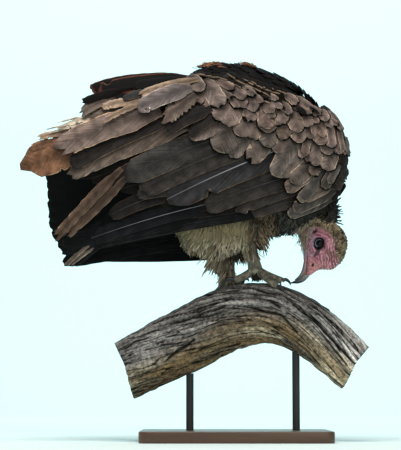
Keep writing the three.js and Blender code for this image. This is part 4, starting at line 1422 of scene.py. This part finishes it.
def make_claw(side, label, name):
    toe, line = TOES[name], toe_line(side, name)
    run = unit(on_line(line, np.array([1.0]))[0] - on_line(line, np.array([0.98]))[0])
    base = line[-1] + run * 0.4 * MM
    up = unit(base - perch_at(np.array(base[0]))[0])
    across = unit(np.cross(run, up))
    arch = [base + (a * run + h * up) * toe["claw"] * MM for a, h in CLAW_ARCH]
    obj, along, turn, share = tube(f"talon_{label}_{name}", 16, 22, 3, CLAW_HORN, rounded=True)
    ahead = on_line(arch, np.clip(along + 0.02, 0, 1)) - on_line(arch, np.clip(along - 0.02, 0, 1))
    over = unit(np.cross(across, unit(ahead)))
    radius = on_line([[c] for c in CLAW_SHARES], along)[:, 0] * toe["radii"][3] * MM * share
    radius *= 0.82 - 0.4 * smooth(0.8, 1.0, along)
    points = on_line(arch, along) + over * (radius * np.cos(turn))[:, None]
    reshape(obj, points + across * (0.86 * radius * np.sin(turn))[:, None])
    paint(obj, "tone", layered("#26262a", len(along), [("#0e0e11", smooth(0.1, 0.8, along))]))
    finish_piece(obj, "claw", f"claw_{label}_{name}")


# ---- perch and stand ----
BASE_SIZE = np.array([300, 200, 18]) * MM
RODS = {"front": 96 * MM, "rear": -72 * MM}
ROD_RADIUS = 6 * MM
ROD_SUNK = 2.5 * MM  # how far the rods reach into the branch
BASE_CORNER = 14 * MM
BASE_EDGE = 2 * MM
# Clefts where the branch split as it dried: x and turn from the crest at both ends, and how wide.
CLEFTS = [
    (94, -38, 192, -62, 6), (68, -60, 192, -92, 5), (-8, -8, 66, -58, 6), (-108, -45, -12, -78, 4),
    (-94, -26, 12, -22, 4), (12, -72, 106, -112, 4), (-120, -114, -66, -102, 5), (130, -84, 180, -104, 4),
    (-60, -52, 20, -62, 3), (30, -30, 112, -22, 4), (-100, 40, 60, 62, 5), (20, 80, 180, 70, 5),
]


def make_perch():
    """Dead wood: fibres that wind round it, furrows where it split as it dried, and smoother undersides."""
    obj, along, turn, share = tube("dead_branch", 176, 240, 12, DEAD_WOOD)
    first, last = PERCH[0, 0], PERCH[-1, 0]
    x = first + (last - first) * along
    middle, radius, up = perch_at(x)
    twist = turn + 1.6 * along
    grain = np.stack([along * 2.6, 2.4 * np.cos(twist), 2.4 * np.sin(twist)], 1)
    fine, broad = wobble(grain, (2.0, 4.5, 4.5)), wobble(grain, 1, 7)
    crack, knots = wobble(grain, (1.0, 2.2, 2.2), (0, 5, 0)), wobble(grain, (3.5, 1.2, 1.2), (3, 1, 8))
    lumps, bare = wobble(grain, (9.0, 3.0, 3.0), (1, 9, 4)), wobble(grain, (1.3, 0.9, 0.9), (9, 2, 2))
    crest = smooth(-0.55, 0.25, np.cos(turn))
    # It stays even where the rods meet it.
    rodded = np.ones(len(x))
    for place in RODS.values():
        near = smooth(26 * MM, 14 * MM, np.hypot(x - place, radius * np.sin(turn)))
        rodded *= 1 - near * (np.cos(turn) < 0)
    split = smooth(0.09, 0.0, np.abs(crack)) * (0.35 + 0.65 * crest)
    cleft = np.zeros(len(x))
    wander = 0.16 * wobble(np.outer(x, [28, 0, 0]), 1, (0, 0.3, 0.7))
    for start, first_turn, end, last_turn, wide in CLEFTS:
        run = (x / MM - start) / (end - start)
        line = np.radians(first_turn + (last_turn - first_turn) * run) + wander
        gap = np.abs((turn - line + math.pi) % (2 * math.pi) - math.pi) * radius / MM
        half = 0.5 * wide * np.sqrt(np.clip(4 * run * (1 - run), 0.0001, 1))
        cleft = np.maximum(cleft, smooth(1.6, 0.6, gap / half) * between(0, run, 1))
    # How deep the surface lies, in millimetres.
    dent = -1.4 - 1.6 * broad + 1.5 * fine * (0.4 + 0.6 * crest) - 3.6 * split
    dent = np.minimum(dent - smooth(0.25, 0.6, knots) + 2.2 * lumps, 0.8) * rodded - 4.5 * cleft
    reach = (radius + dent * MM) * share
    points = middle + up * (reach * np.cos(turn))[:, None]
    points[:, 1] += reach * np.sin(turn)
    points[:, 0] += 1.2 * MM * fine * (share < 1) * share
    reshape(obj, points)
    end_grain = share < 0.999
    tone = layered("#7b6d57", len(x), [
        ("#7d7b79", crest),
        ("#a5a29d", 0.5 * crest * smooth(0.05, 0.4, fine)),
        ("#4a4845", 0.5 * crest * smooth(-0.1, -0.4, fine)),
        ("#55524c", 0.8 * smooth(0.05, 0.5, broad) * (1 - 0.5 * crest)),
        ("#c3b59a", 0.6 * smooth(0.02, 0.3, bare) * smooth(0.9, 0.3, crest)),
        ("#7c6441", 0.6 * smooth(-0.02, -0.3, bare) * (1 - crest) * smooth(0.15, 0.09, x)),
        # Painted shade deep in the splits.
        ("#1c1a18", 0.92 * split),
    ])
    tone[:, :3] *= (1 + 0.9 * smooth(0.10, 0.16, x))[:, None]
    # Painted shade: the clefts are near-black inside.
    tone = tinted(tone, "#0d0c0b", 0.95 * cleft)
    tone = tinted(tone, "#a08e74", end_grain * 0.8)
    tone = tinted(tone, "#7a6a54", end_grain * 0.6 * (0.5 + 0.5 * np.sin(share * 60)))
    paint(obj, "tone", tone)
    map_corners(obj, "grain", np.stack([(x - first), (twist / (2 * math.pi)) % 1.0 * 0.31], 1))
    finish_piece(obj, "branch", "perch_branch")


def make_base():
    base = start_from("stand_plate", bpy.ops.mesh.primitive_cube_add, size=1, location=(0, 0, 0))
    co = coordinates(base) * BASE_SIZE
    co[:, 2] += BASE_SIZE[2] / 2
    reshape(base, co)
    upright = [abs(co[e.vertices[0], 2] - co[e.vertices[1], 2]) > 0.01 for e in base.data.edges]
    bpy.ops.object.mode_set(mode="EDIT")
    bpy.ops.mesh.select_mode(type="EDGE")
    bpy.ops.mesh.select_all(action="DESELECT")
    bpy.ops.object.mode_set(mode="OBJECT")
    base.data.edges.foreach_set("select", np.array(upright, bool))
    bpy.ops.object.mode_set(mode="EDIT")
    bpy.ops.mesh.bevel(offset=BASE_CORNER, segments=10, affect="EDGES")
    bpy.ops.object.mode_set(mode="OBJECT")
    apply_modifier(
        base, "BEVEL", width=BASE_EDGE, segments=3, limit_method="ANGLE", angle_limit=math.radians(50))
    bpy.ops.object.shade_smooth_by_angle(angle=math.radians(40))
    base.data.materials.append(STAND_WOOD)
    finish_piece(base, "stand_base", "stand_base")


def make_rod(place, label):
    middle, radius, up = perch_at(np.array(place))
    top, bottom = middle[2] - radius / up[2] + ROD_SUNK, BASE_SIZE[2]
    rod = start_from(
        f"stand_post_{label}", bpy.ops.mesh.primitive_cylinder_add,
        vertices=40, radius=ROD_RADIUS, depth=top - bottom)
    reshape(rod, coordinates(rod) + (place, 0, (top + bottom) / 2))
    bpy.ops.object.shade_smooth_by_angle(angle=math.radians(40))
    rod.data.materials.append(STAND_STEEL)
    finish_piece(rod, "stand_rod", f"stand_rod_{label}")


# ---- body coat ----
def skin_triangles():
    SKIN.data.calc_loop_triangles()
    corners = np.empty(len(SKIN.data.loop_triangles) * 3, np.int32)
    SKIN.data.loop_triangles.foreach_get("vertices", corners)
    return coordinates(SKIN)[corners.reshape(-1, 3)]


SKIN_FACES = skin_triangles()


def spread_spots(gap, keep):
    """Spots on the skin about so far apart, with the way out of it, wherever keep says."""
    cross = np.cross(SKIN_FACES[:, 1] - SKIN_FACES[:, 0], SKIN_FACES[:, 2] - SKIN_FACES[:, 0])
    area = np.linalg.norm(cross, axis=1) / 2
    wanted = keep(SKIN_FACES.mean(1), unit(cross))
    faces, cross, area = SKIN_FACES[wanted], cross[wanted], area[wanted]
    count = int(4 * area.sum() / gap**2)
    chosen = RNG.choice(len(faces), count, p=area / area.sum())
    a, b = RNG.uniform(0, 1, (2, count, 1))
    a, b = np.where(a + b > 1, 1 - a, a), np.where(a + b > 1, 1 - b, b)
    corner = faces[chosen]
    spots = corner[:, 0] + a * (corner[:, 1] - corner[:, 0]) + b * (corner[:, 2] - corner[:, 0])
    cells = np.floor(spots / gap).astype(int)
    _, first = np.unique(cells, axis=0, return_index=True)
    spots, normals = spots[first], unit(cross[chosen[first]])
    taken = np.ones(len(spots), bool)
    for i in range(len(spots)):
        if taken[i]:
            near = np.abs(spots - spots[i]).max(1) < 0.62 * gap
            near[:i + 1] = False
            taken &= ~near
    return spots[taken], normals[taken]


def onto_skin(points, lift):
    """Points brought to so far off the skin nearest to them."""
    placed = np.empty_like(points)
    for i, point in enumerate(points):
        found, normal, _, _ = SKIN_TREE.find_nearest(Vector(point))
        placed[i] = np.array(found) + np.array(normal) * lift[i]
    return placed


def sizes(low, high, count):
    """So many lengths between two given in millimetres."""
    return RNG.uniform(low, high, count) * MM


TUFT_PATCH = 0.003  # how large a small lock is on the bake's map


def coat(name, spots, normals, way, long, wide, lift, colours, outline, form=STRAND_FORM, material=DOWN,
         patch=TUFT_PATCH, hug=1.0, camber=0.2, thick=0.5, root_lift=-0.6 * MM):
    """Feathers or locks rooted at the spots that lie along the skin the way given, their tips lifted off it.
    The outline is their round tip, taper, quill, fray and tear, hug is how closely they follow the skin, and
    camber and thickness are in millimetres."""
    count = len(spots)
    long = np.broadcast_to(long, count)
    flat = unit(way - normals * np.sum(way * normals, 1, keepdims=True))
    base = np.broadcast_to(root_lift, count)
    start = spots + normals * base[:, None]
    middle, end = start + flat * long[:, None] * 0.5, start + flat * long[:, None]
    free_middle, free_end = middle + (way - flat) * 0.2 * long[:, None], start + unit(way) * long[:, None]
    lift = np.broadcast_to(lift, count)
    middle = free_middle + (onto_skin(middle, 0.6 * lift + 0.4 * base) - free_middle) * hug
    end = free_end + (onto_skin(end, lift) - free_end) * hug
    outline = vane_outline(form, count, *outline)
    points = free_vanes(form, start, middle, end, normals, wide, outline, camber * MM, thick * MM)
    obj = feather_mesh(name, form, points, outline[0], *colours, material, skin_unwrap(spots), patch)


def free_locks(name, start, middle, end, facing, least, greatest, colours, outline):
    """Locks that hang clear of the skin, with the least and greatest width of them in millimetres."""
    count = len(start)
    outline = vane_outline(STRAND_FORM, count, *outline)
    points = free_vanes(
        STRAND_FORM, start, middle, end, np.tile(facing, (count, 1)),
        sizes(least, greatest, count), outline, 0.2 * MM, 0.5 * MM)
    obj = feather_mesh(
        name, STRAND_FORM, points, outline[0], *colours, DOWN, skin_unwrap(start), TUFT_PATCH)


def some(count, share):
    """Picks about such a share of so many locks."""
    return RNG.uniform(0, 1, count) < share


def shades(count, low, high, spread, roots):
    """Tone and trim for locks: a seeded mix of two colours. Roots is how much darker the root is:
    painted shade where the locks cover one another.
    """
    share = np.clip(0.5 + RNG.normal(0, 1, count) * spread, 0, 1)
    trim = layered(low, count, [(high, share)])
    tone = trim.copy()
    # Painted shade at the root of each lock.
    tone[:, :3] *= 1 - roots
    tone[:, 3] = 0
    return tone, trim


def turned(ways, spread):
    return unit(ways + RNG.normal(0, spread, ways.shape))


def from_head(points):
    """How far points are from the head's origin, between the eyes."""
    forward, dorsal, out = head_place(points)
    return np.hypot(np.hypot(forward, dorsal), out)


# How far the mantle's feathers stand off the skin: x and lift.
HUMP = np.array([
    [-80, 8], [-55, 16], [-27, 12], [-3, 9], [37, 14], [73, 25], [99, 26], [124, 19], [150, 11], [180, 6],
]) * MM


def make_mantle():
    def keep(points, normals):
        above = points[:, 2] > np.interp(points[:, 0], BAND_TOP[:, 0], BAND_TOP[:, 1]) - 22 * MM
        return above & (points[:, 0] > -80 * MM) & (normals[:, 2] > -0.3)

    # Two layers, the second one half as high over the skin.
    spots, normals = (np.tile(part, (2, 1)) for part in spread_spots(8 * MM, keep))
    count = len(spots)
    share = np.repeat([1.0, 0.5], count // 2) * (0.2 + 0.8 * smooth(0.2, 0.8, normals[:, 2]))
    out = np.sign(spots[:, 1]) * 0.2
    way = turned(np.stack([-np.ones(count), out, -0.1 * np.ones(count)], 1), 0.07)
    colours = plume_colours(["mantle"] * count, 0.12)
    long = sizes(26, 36, count)
    root = np.interp(spots[:, 0], HUMP[:, 0], HUMP[:, 1]) * share - 3.5 * MM
    lift = np.interp(spots[:, 0] - long, HUMP[:, 0], HUMP[:, 1]) * share + sizes(0, 1.5, count)
    coat(
        "mantle_feathers", spots, normals, way, long, sizes(15, 20, count), lift, colours,
        (0.35, 0.1, 0.7, 0.1, 0.1), BODY_FORM, BODY_VANE, None, camber=1.5, root_lift=root)


# Rufous tufts that stand up from the mantle: middle of the tuft, how far it spreads and the way it points.
TUFTS = [((-26, 592), 20, (-0.97, 0.25)), ((24, 586), 11, (-0.85, 0.5))]


def make_tufts():
    spots, normals, ways = [], [], []
    for (x, z), spread, (along, up) in TUFTS:
        for _ in range(int(14 * spread)):
            place = np.array([x + RNG.normal(0, 0.45 * spread), RNG.normal(0, 11), z + 30]) * MM
            found, normal, _, _ = SKIN_TREE.ray_cast(Vector(place), Vector((0, 0, -1)))
            spots.append(tuple(found))
            normals.append(tuple(normal))
            ways.append((along, RNG.normal(0, 0.2), up))
    spots, normals = np.array(spots), np.array(normals)
    count = len(spots)
    colours = plume_colours(["mantle_rufous"] * count, 0.2)
    root = np.interp(spots[:, 0], HUMP[:, 0], HUMP[:, 1])
    lift = root + sizes(5, 13, count)
    coat(
        "mantle_tufts", spots, normals, turned(np.array(ways), 0.14), sizes(16, 28, count),
        sizes(1.6, 3.6, count), lift, colours, (0.6, 0.7, 0.5, 0.1, 0.0), hug=0.5, root_lift=root)


def make_body():
    def keep(points, normals):
        clear = from_head(points) > 78 * MM
        under = (normals[:, 2] < -0.25) | (normals[:, 0] > 0.55)
        back = (points[:, 0] < -70 * MM) & (normals[:, 2] > 0.3)
        return clear & (under | back) & (points[:, 2] > 0.362)

    spots, normals = spread_spots(10 * MM, keep)
    count = len(spots)
    front = smooth(90 * MM, 150 * MM, spots[:, 0])
    way = np.stack([-1 + 0.5 * front, np.zeros(count), -0.15 - 0.5 * front], 1)
    colours = plume_colours(["breast"] * count, 0.15)
    coat(
        "body_feathers", spots, normals, turned(way, 0.15), sizes(24, 34, count),
        sizes(12, 16, count), sizes(2, 6, count), colours,
        (0.3, 0.1, 0.5, 0.2, 0.3), BODY_FORM, BODY_VANE, None, camber=0.8)


def make_ruff():
    """Thin black plumes that stand out round the neck and hang below the breast."""
    def keep(points, normals):
        x, z = points[:, 0], points[:, 2]
        neck = (x > 96 * MM) & between(0.318, z, 0.47) & ((z < 0.43) | (normals[:, 0] > 0.3))
        breast = (x > 36 * MM) & between(0.325, z, 0.40) & (normals[:, 2] < 0.1)
        return (from_head(points) > 43 * MM) & (neck | breast)

    spots, normals = spread_spots(4.4 * MM, keep)
    count = len(spots)
    rear, front = smooth(0.12, 0.09, spots[:, 0]), smooth(0.125, 0.15, spots[:, 0])
    out = np.sign(spots[:, 1]) * 0.1
    way = np.stack([0.7 - 0.9 * rear + 0.3 * front, out, -0.5 - 0.2 * rear + 0.6 * front], 1)
    tone, trim = plume_colours(["ruff"] * count, 0.2)
    trim = tinted(trim, "#6b5540", some(count, 0.08) * 0.8)
    away = np.linalg.norm(spots - HEAD_ORIGIN, axis=1)
    # Short beside the head, but not under the neck.
    under = smooth(-34 * MM, -40 * MM, head_place(spots)[1])
    long = RNG.uniform(16, 30, count) * (1 - 0.65 * smooth(0.092, 0.06, away) * (1 - under)) * MM
    coat(
        "ruff_plumes", spots, normals, turned(way + (0.55 - 0.2 * front)[:, None] * normals, 0.17), long,
        RNG.uniform(1.4, 3.2, count) * (1 + 0.8 * front) * MM, 5 * MM, (tone, trim),
        (0.6, 0.75, 0.5, 0.1, 0.0), hug=0.35)


def make_neck_plumes():
    """A curtain of black plumes that hangs from the front of the breast beside the neck."""
    count, loose = 420, 70
    start = np.stack([
        RNG.uniform(108, 146, count), RNG.normal(0, 15, count), RNG.uniform(370, 396, count)], 1) * MM
    way = np.stack([RNG.normal(0.25, 0.22, count), RNG.normal(0, 0.12, count), -np.ones(count)], 1)
    end = start + way * RNG.uniform(18, 34, (count, 1)) * MM
    lowest = (355 - 0.5 * np.clip(130 - end[:, 0] / MM, 0, 30)) * MM
    end[:, 2] = np.maximum(end[:, 2], lowest + sizes(0, 5, count))
    # The loose ones stand out from the nape instead.
    start[:loose] = np.stack([
        RNG.uniform(143, 152, loose), RNG.uniform(-14, 6, loose), RNG.uniform(346, 378, loose)], 1) * MM
    fan = np.stack([np.ones(loose), RNG.normal(0, 0.15, loose), RNG.normal(0.35, 0.5, loose)], 1)
    end[:loose] = start[:loose] + unit(fan) * RNG.uniform(12, 27, (loose, 1)) * MM
    middle = (start + end) / 2 + (3 * MM, 0, 0)
    free_locks(
        "neck_plumes", start, middle, end, (0.3, -0.95, 0.0), 1.8, 3.6,
        plume_colours(["ruff"] * count, 0.2), (0.1, 0.6, 0.5, 0.1, 0.0))


def outer_spots(gap, keep, inner):
    """Spots further than that from the middle plane, on both sides."""
    spots, normals = spread_spots(gap, keep)
    outer = np.abs(spots[:, 1]) > inner
    return spots[outer], normals[outer]


def make_trousers():
    """Soft cream down on the thighs that hangs in locks, brown in front of the shank."""
    def keep(points, _):
        return between(0.302, points[:, 2], 0.392) & between(-0.12, points[:, 0], 0.066)

    spots, normals = outer_spots(3.1 * MM, keep, 8 * MM)
    count = len(spots)
    x, z = spots[:, 0] / MM, spots[:, 2] / MM
    low = smooth(338, 302, z)
    bend, drift = wobble(spots, 38.0, 1.0), wobble(spots, 38.0, 6.0)
    way = np.stack([-0.2 - 0.3 * smooth(-20, -90, x), np.zeros(count), -np.ones(count)], 1) + 0.2 * normals
    way[:, 0] += 0.9 * bend
    tone, trim = shades(count, "#655a42", "#9a8f6c", 0.12 + 0.15 * low, 0.15)
    edge = smooth(-62, -95, x)
    trim = tinted(trim, "#463d2a", 0.7 * smooth(0.0, 0.4, drift) * (1 - 0.8 * smooth(322, 340, z)))
    trim = tinted(trim, "#ddd5c2", 0.8 * low * some(count, 0.45))
    brown = ((x > 22) | ((spots[:, 1] > 0) & some(count, 0.5))).astype(float)
    trim = tinted(trim, "#6a4f3a", 0.9 * brown * some(count, 0.7))
    # Painted shade: the brown locks are darker still at their roots.
    tone = tinted(tone, "#241a13", 0.9 * brown)
    trim = tinted(trim, "#201c16", 0.8 * edge * some(count, 0.6))
    ragged = 0.6 * np.maximum(low, 0.6 * brown)
    long = RNG.uniform(16, 27, count) * (1 + ragged * RNG.uniform(0, 1, count)) * MM
    coat(
        "thigh_locks", spots, normals, turned(way, 0.08 + 0.12 * low[:, None]), long,
        RNG.uniform(1.0, 2.4, count) * (2.0 - np.maximum(low, brown)) * MM,
        (1.5 + 2 * smooth(-0.4, 0.4, bend) + RNG.uniform(0, 2, count)) * MM,
        (tone, trim), (0.2, 0.8, 0.6, 0.2, 0.0), hug=0.6)


def shaggy_locks(name, spots, normals, lean, out, colours, stray, widest, taper, hug):
    """Ragged locks on the thighs and shanks that hang down, lean forwards and stand out so far. Stray is how
    unevenly they lie, widest the greatest width in millimetres and taper how pointed they are."""
    count = len(spots)
    way = np.tile((lean, 0.0, -1.0), (count, 1)) + out * normals
    colours = shades(count, *colours)
    coat(
        name, spots, normals, turned(way, stray), sizes(14, 28, count), sizes(1.4, widest, count),
        sizes(2, 6, count), colours, (0.2, taper, 0.6, 0.2, 0.0), hug=hug)


def make_front_locks():
    """Brown feathers that hang in front of the thighs, with ragged pale ends."""
    def keep(points, _):
        return between(0.033, points[:, 0], 0.05) & between(0.302, points[:, 2], 0.356)

    shaggy_locks(
        "front_locks", *outer_spots(3.2 * MM, keep, 6 * MM), 0.6, 0.6,
        ("#46362a", "#a08a70", 0.35, 0.6), 0.16, 3.2, 0.8, 0.25)


def make_shank_locks():
    """Shaggy brown and cream locks that hang from the far shank over the foot, and behind the near one."""
    def keep(points, _):
        x, y, z = points.T
        far = (y > 8 * MM) & between(-0.07, x, 0.02) & between(0.262, z, 0.305)
        near = (y < -8 * MM) & between(-0.03, x, 0.01) & between(0.292, z, 0.318)
        return far | near

    shaggy_locks(
        "shank_locks", *spread_spots(2.2 * MM, keep), -0.3, 0.35,
        ("#4a3728", "#d0c2a8", 0.45, 0.35), 0.2, 3.0, 0.85, 0.4)


# Locks that hang free: how many, the box of their roots in x, y and z, the least and greatest length, how
# far they lean forwards, and their two colours.
HANGING = [
    (230, (-8, 18), (-14, 22), (312, 328), (22, 40), 0.1, ("#15100d", "#4a3c30")),
    (150, (24, 44), (-36, -12), (322, 352), (16, 30), 0.5, ("#2a1d15", "#a08a70")),
    (60, (26, 42), (-22, 4), (322, 348), (18, 34), 0.4, ("#15100d", "#5a4838")),
    # Painted shadow: near-black locks under the near foot's arch.
    (90, (27, 41), (-24, -6), (263, 268), (7, 15), 0.0, ("#0d0b0a", "#2b241e")),
    (120, (-36, -8), (22, 46), (298, 322), (22, 42), -0.42, ("#5a4230", "#d8c8aa")),
]


def make_hanging_locks():
    """Dark locks between the legs, brown ones before the thighs, a near-black clump under the near foot that
    is painted shadow under its arch, and brown and cream ones behind the far shank."""
    parts = []
    for count, *box, length, lean, colours in HANGING:
        start = np.stack([RNG.uniform(*sides, count) for sides in box], 1) * MM
        way = np.stack([RNG.normal(lean, 0.15, count), RNG.normal(0, 0.1, count), -np.ones(count)], 1)
        end = start + way * RNG.uniform(*length, (count, 1)) * MM
        parts.append((start, end, *shades(count, *colours, 0.4, 0.6)))
    start, end, *colours = (np.concatenate(part) for part in zip(*parts))
    free_locks(
        "hanging_locks", start, (start + end) / 2, end, (0.2, -0.98, 0.0), 1.6, 3.4, colours,
        (0.1, 0.8, 0.6, 0.2, 0.0))


def make_hood():
    """Short woolly down on the crown and nape, which thins to a few long hairs under the throat."""
    def keep(points, _):
        forward, dorsal, out = head_place(points)
        ratio = head_ratio(forward, dorsal, out)[0]
        return (past_hood(forward, dorsal) < 1.5 * MM) & (forward > -46 * MM) & (ratio < 1.35)

    spots, normals = spread_spots(1.5 * MM, keep)
    count = len(spots)
    forward, dorsal, _ = head_place(spots)
    back = -np.tile(FORWARD, (count, 1)) * 0.6 - np.outer(dorsal / (30 * MM), DORSAL) * 0.2
    tone, trim = shades(count, "#927a5c", "#e6d2b0", 0.35, 0.5)
    patch = wobble(spots, 150.0, 4.0) + 0.6 * wobble(spots, 380.0, 2.0)
    trim = tinted(trim, "#3d2a1a", smooth(-0.02, 0.2, patch) * 0.8)
    tone = tinted(tone, "#2a1c10", smooth(0.0, 0.25, patch) * 0.6)
    nape = smooth(-22, -30, forward / MM)[:, None]
    # Painted light: the nape's down is made paler against the shadow the wing casts on it.
    tone[:, :3] *= 1 + 0.6 * nape
    trim[:, :3] *= 1 + 0.35 * nape
    puff = smooth(-0.4, 0.3, wobble(spots, 120.0, 8.0))
    coat(
        "hood_down", spots, normals, turned(back + 0.9 * normals, 0.5),
        sizes(3.5, 7.5, count), sizes(1.0, 2.2, count),
        (1.2 + 2.8 * puff + RNG.uniform(0, 1.8, count)) * MM, (tone, trim), (0.5, 0.7, 0.6, 0.2, 0.0),
        material=HOOD_DOWN, hug=0.25, camber=0.3, thick=0.35)


def make_throat():
    def keep(points, _):
        forward, dorsal, out = head_place(points)
        low = dorsal < -20 * MM + 0.25 * np.abs(forward)
        return low & (dorsal > -36 * MM) & between(-42 * MM, forward, 14 * MM) & (np.abs(out) < 26 * MM)

    spots, normals = spread_spots(2.4 * MM, keep)
    count = len(spots)
    forward, dorsal, _ = head_place(spots)
    nape = smooth(12, 2, forward / MM) * smooth(-22, -26, dorsal / MM)
    way = np.tile(0.9 * FORWARD + 0.1 * DORSAL, (count, 1)) + (0.3 + 0.1 * nape)[:, None] * normals
    colours = shades(count, "#6a5c46", "#d6c9ac", 0.35, 0.4)
    coat(
        "throat_hairs", spots, normals, turned(way, 0.2),
        RNG.uniform(6, 13, count) * (1 + 1.8 * nape * RNG.uniform(0, 1, count) ** 3) * MM,
        sizes(0.7, 1.3, count), sizes(0.8, 2.5, count), colours,
        (0.15, 0.8, 0.6, 0.2, 0.0), material=HOOD_DOWN, hug=0.35, camber=0.1, thick=0.35)


make_bill("bill_upper", BILL_UPPER, 1.2 * MM)
make_bill("bill_lower", BILL_LOWER, 0.4 * MM)
for eye_side, eye_label in SIDES.items():
    make_eye(eye_side, eye_label)
    for toe_name in TOES:
        make_claw(eye_side, eye_label, toe_name)
make_perch()
make_base()
for rod_label, rod_place in RODS.items():
    make_rod(rod_place, rod_label)
make_mantle()
make_tufts()
make_body()
make_ruff()
make_neck_plumes()
make_trousers()
make_front_locks()
make_shank_locks()
make_hanging_locks()
make_hood()
make_throat()


# ---- camera, floor and lights ----
CAMERA_TILT = math.radians(6)
CAMERA_DISTANCE = 2.6
CAMERA_TARGET = Vector((-0.0552, 0, 0.344))
CAMERA_LENS = 130
SWEEP_START, SWEEP_RADIUS = 3.4, 1.2  # where the paper starts to curve up, and how widely


def make_camera():
    data = bpy.data.cameras.new("camera")
    data.sensor_fit = "VERTICAL"
    data.sensor_height = 36
    data.lens = CAMERA_LENS
    camera = add_to_scene("camera", data)
    back = Vector((0, math.cos(CAMERA_TILT), math.sin(CAMERA_TILT)))
    camera.location = CAMERA_TARGET - CAMERA_DISTANCE * back
    camera.rotation_euler = (math.radians(90) + CAMERA_TILT, 0, 0)
    bpy.context.scene.camera = camera


def make_sweep():
    """The studio's paper: floor that curves up into a wall well behind the model."""
    profile = [(-6.0, 0.0), (SWEEP_START, 0.0)]
    profile += [
        (SWEEP_START + SWEEP_RADIUS * math.sin(a), SWEEP_RADIUS - SWEEP_RADIUS * math.cos(a))
        for a in np.linspace(0.08, math.pi / 2, 18)]
    profile += [(SWEEP_START + SWEEP_RADIUS, 5.0)]
    points = [(x, y, z) for x in (-6.0, 6.0) for y, z in profile]
    count = len(profile)
    quads = np.array([(i, i + count, i + count + 1, i + 1) for i in range(count - 1)])
    paper = joined_mesh("studio_floor", points, quads, STUDIO_PAPER)


def soft_light(name, place, aim, size, watts, colour):
    """A round lamp. Its size is its width, and the wider it is, the softer its shadows."""
    data = bpy.data.lights.new(name, "AREA")
    data.shape = "DISK"
    data.size = size
    data.energy = watts
    data.color = linear(colour)[:3]
    lamp = add_to_scene(name, data)
    lamp.location = place
    lamp.rotation_euler = (Vector(aim) - Vector(place)).to_track_quat("-Z", "Y").to_euler()


def make_light():
    """A broad soft light above, a weak one in front, and two that brighten only the paper behind."""
    world = bpy.data.worlds.new("studio")
    bpy.context.scene.world = world
    world.use_nodes = True
    world.node_tree.nodes["Background"].inputs["Color"].default_value = linear("#fffaf4")
    world.node_tree.nodes["Background"].inputs["Strength"].default_value = 0.32
    soft_light("sky", (-0.2, -0.8, 2.3), (0.0, 0, 0.4), 1.3, 40, "#fffaf3")
    soft_light("front", (0.7, -2.4, 1.1), (0, 0, 0.4), 1.4, 15, "#fffaf2")
    for place in (-1.6, 1.6):
        soft_light(f"paper_{place}", (place, 2.0, 3.0), (place * 0.5, 4.4, 0.7), 1.8, 70, "#d4fbff")
    bpy.context.scene.view_settings.view_transform = "Standard"


make_camera()
make_sweep()
make_light()
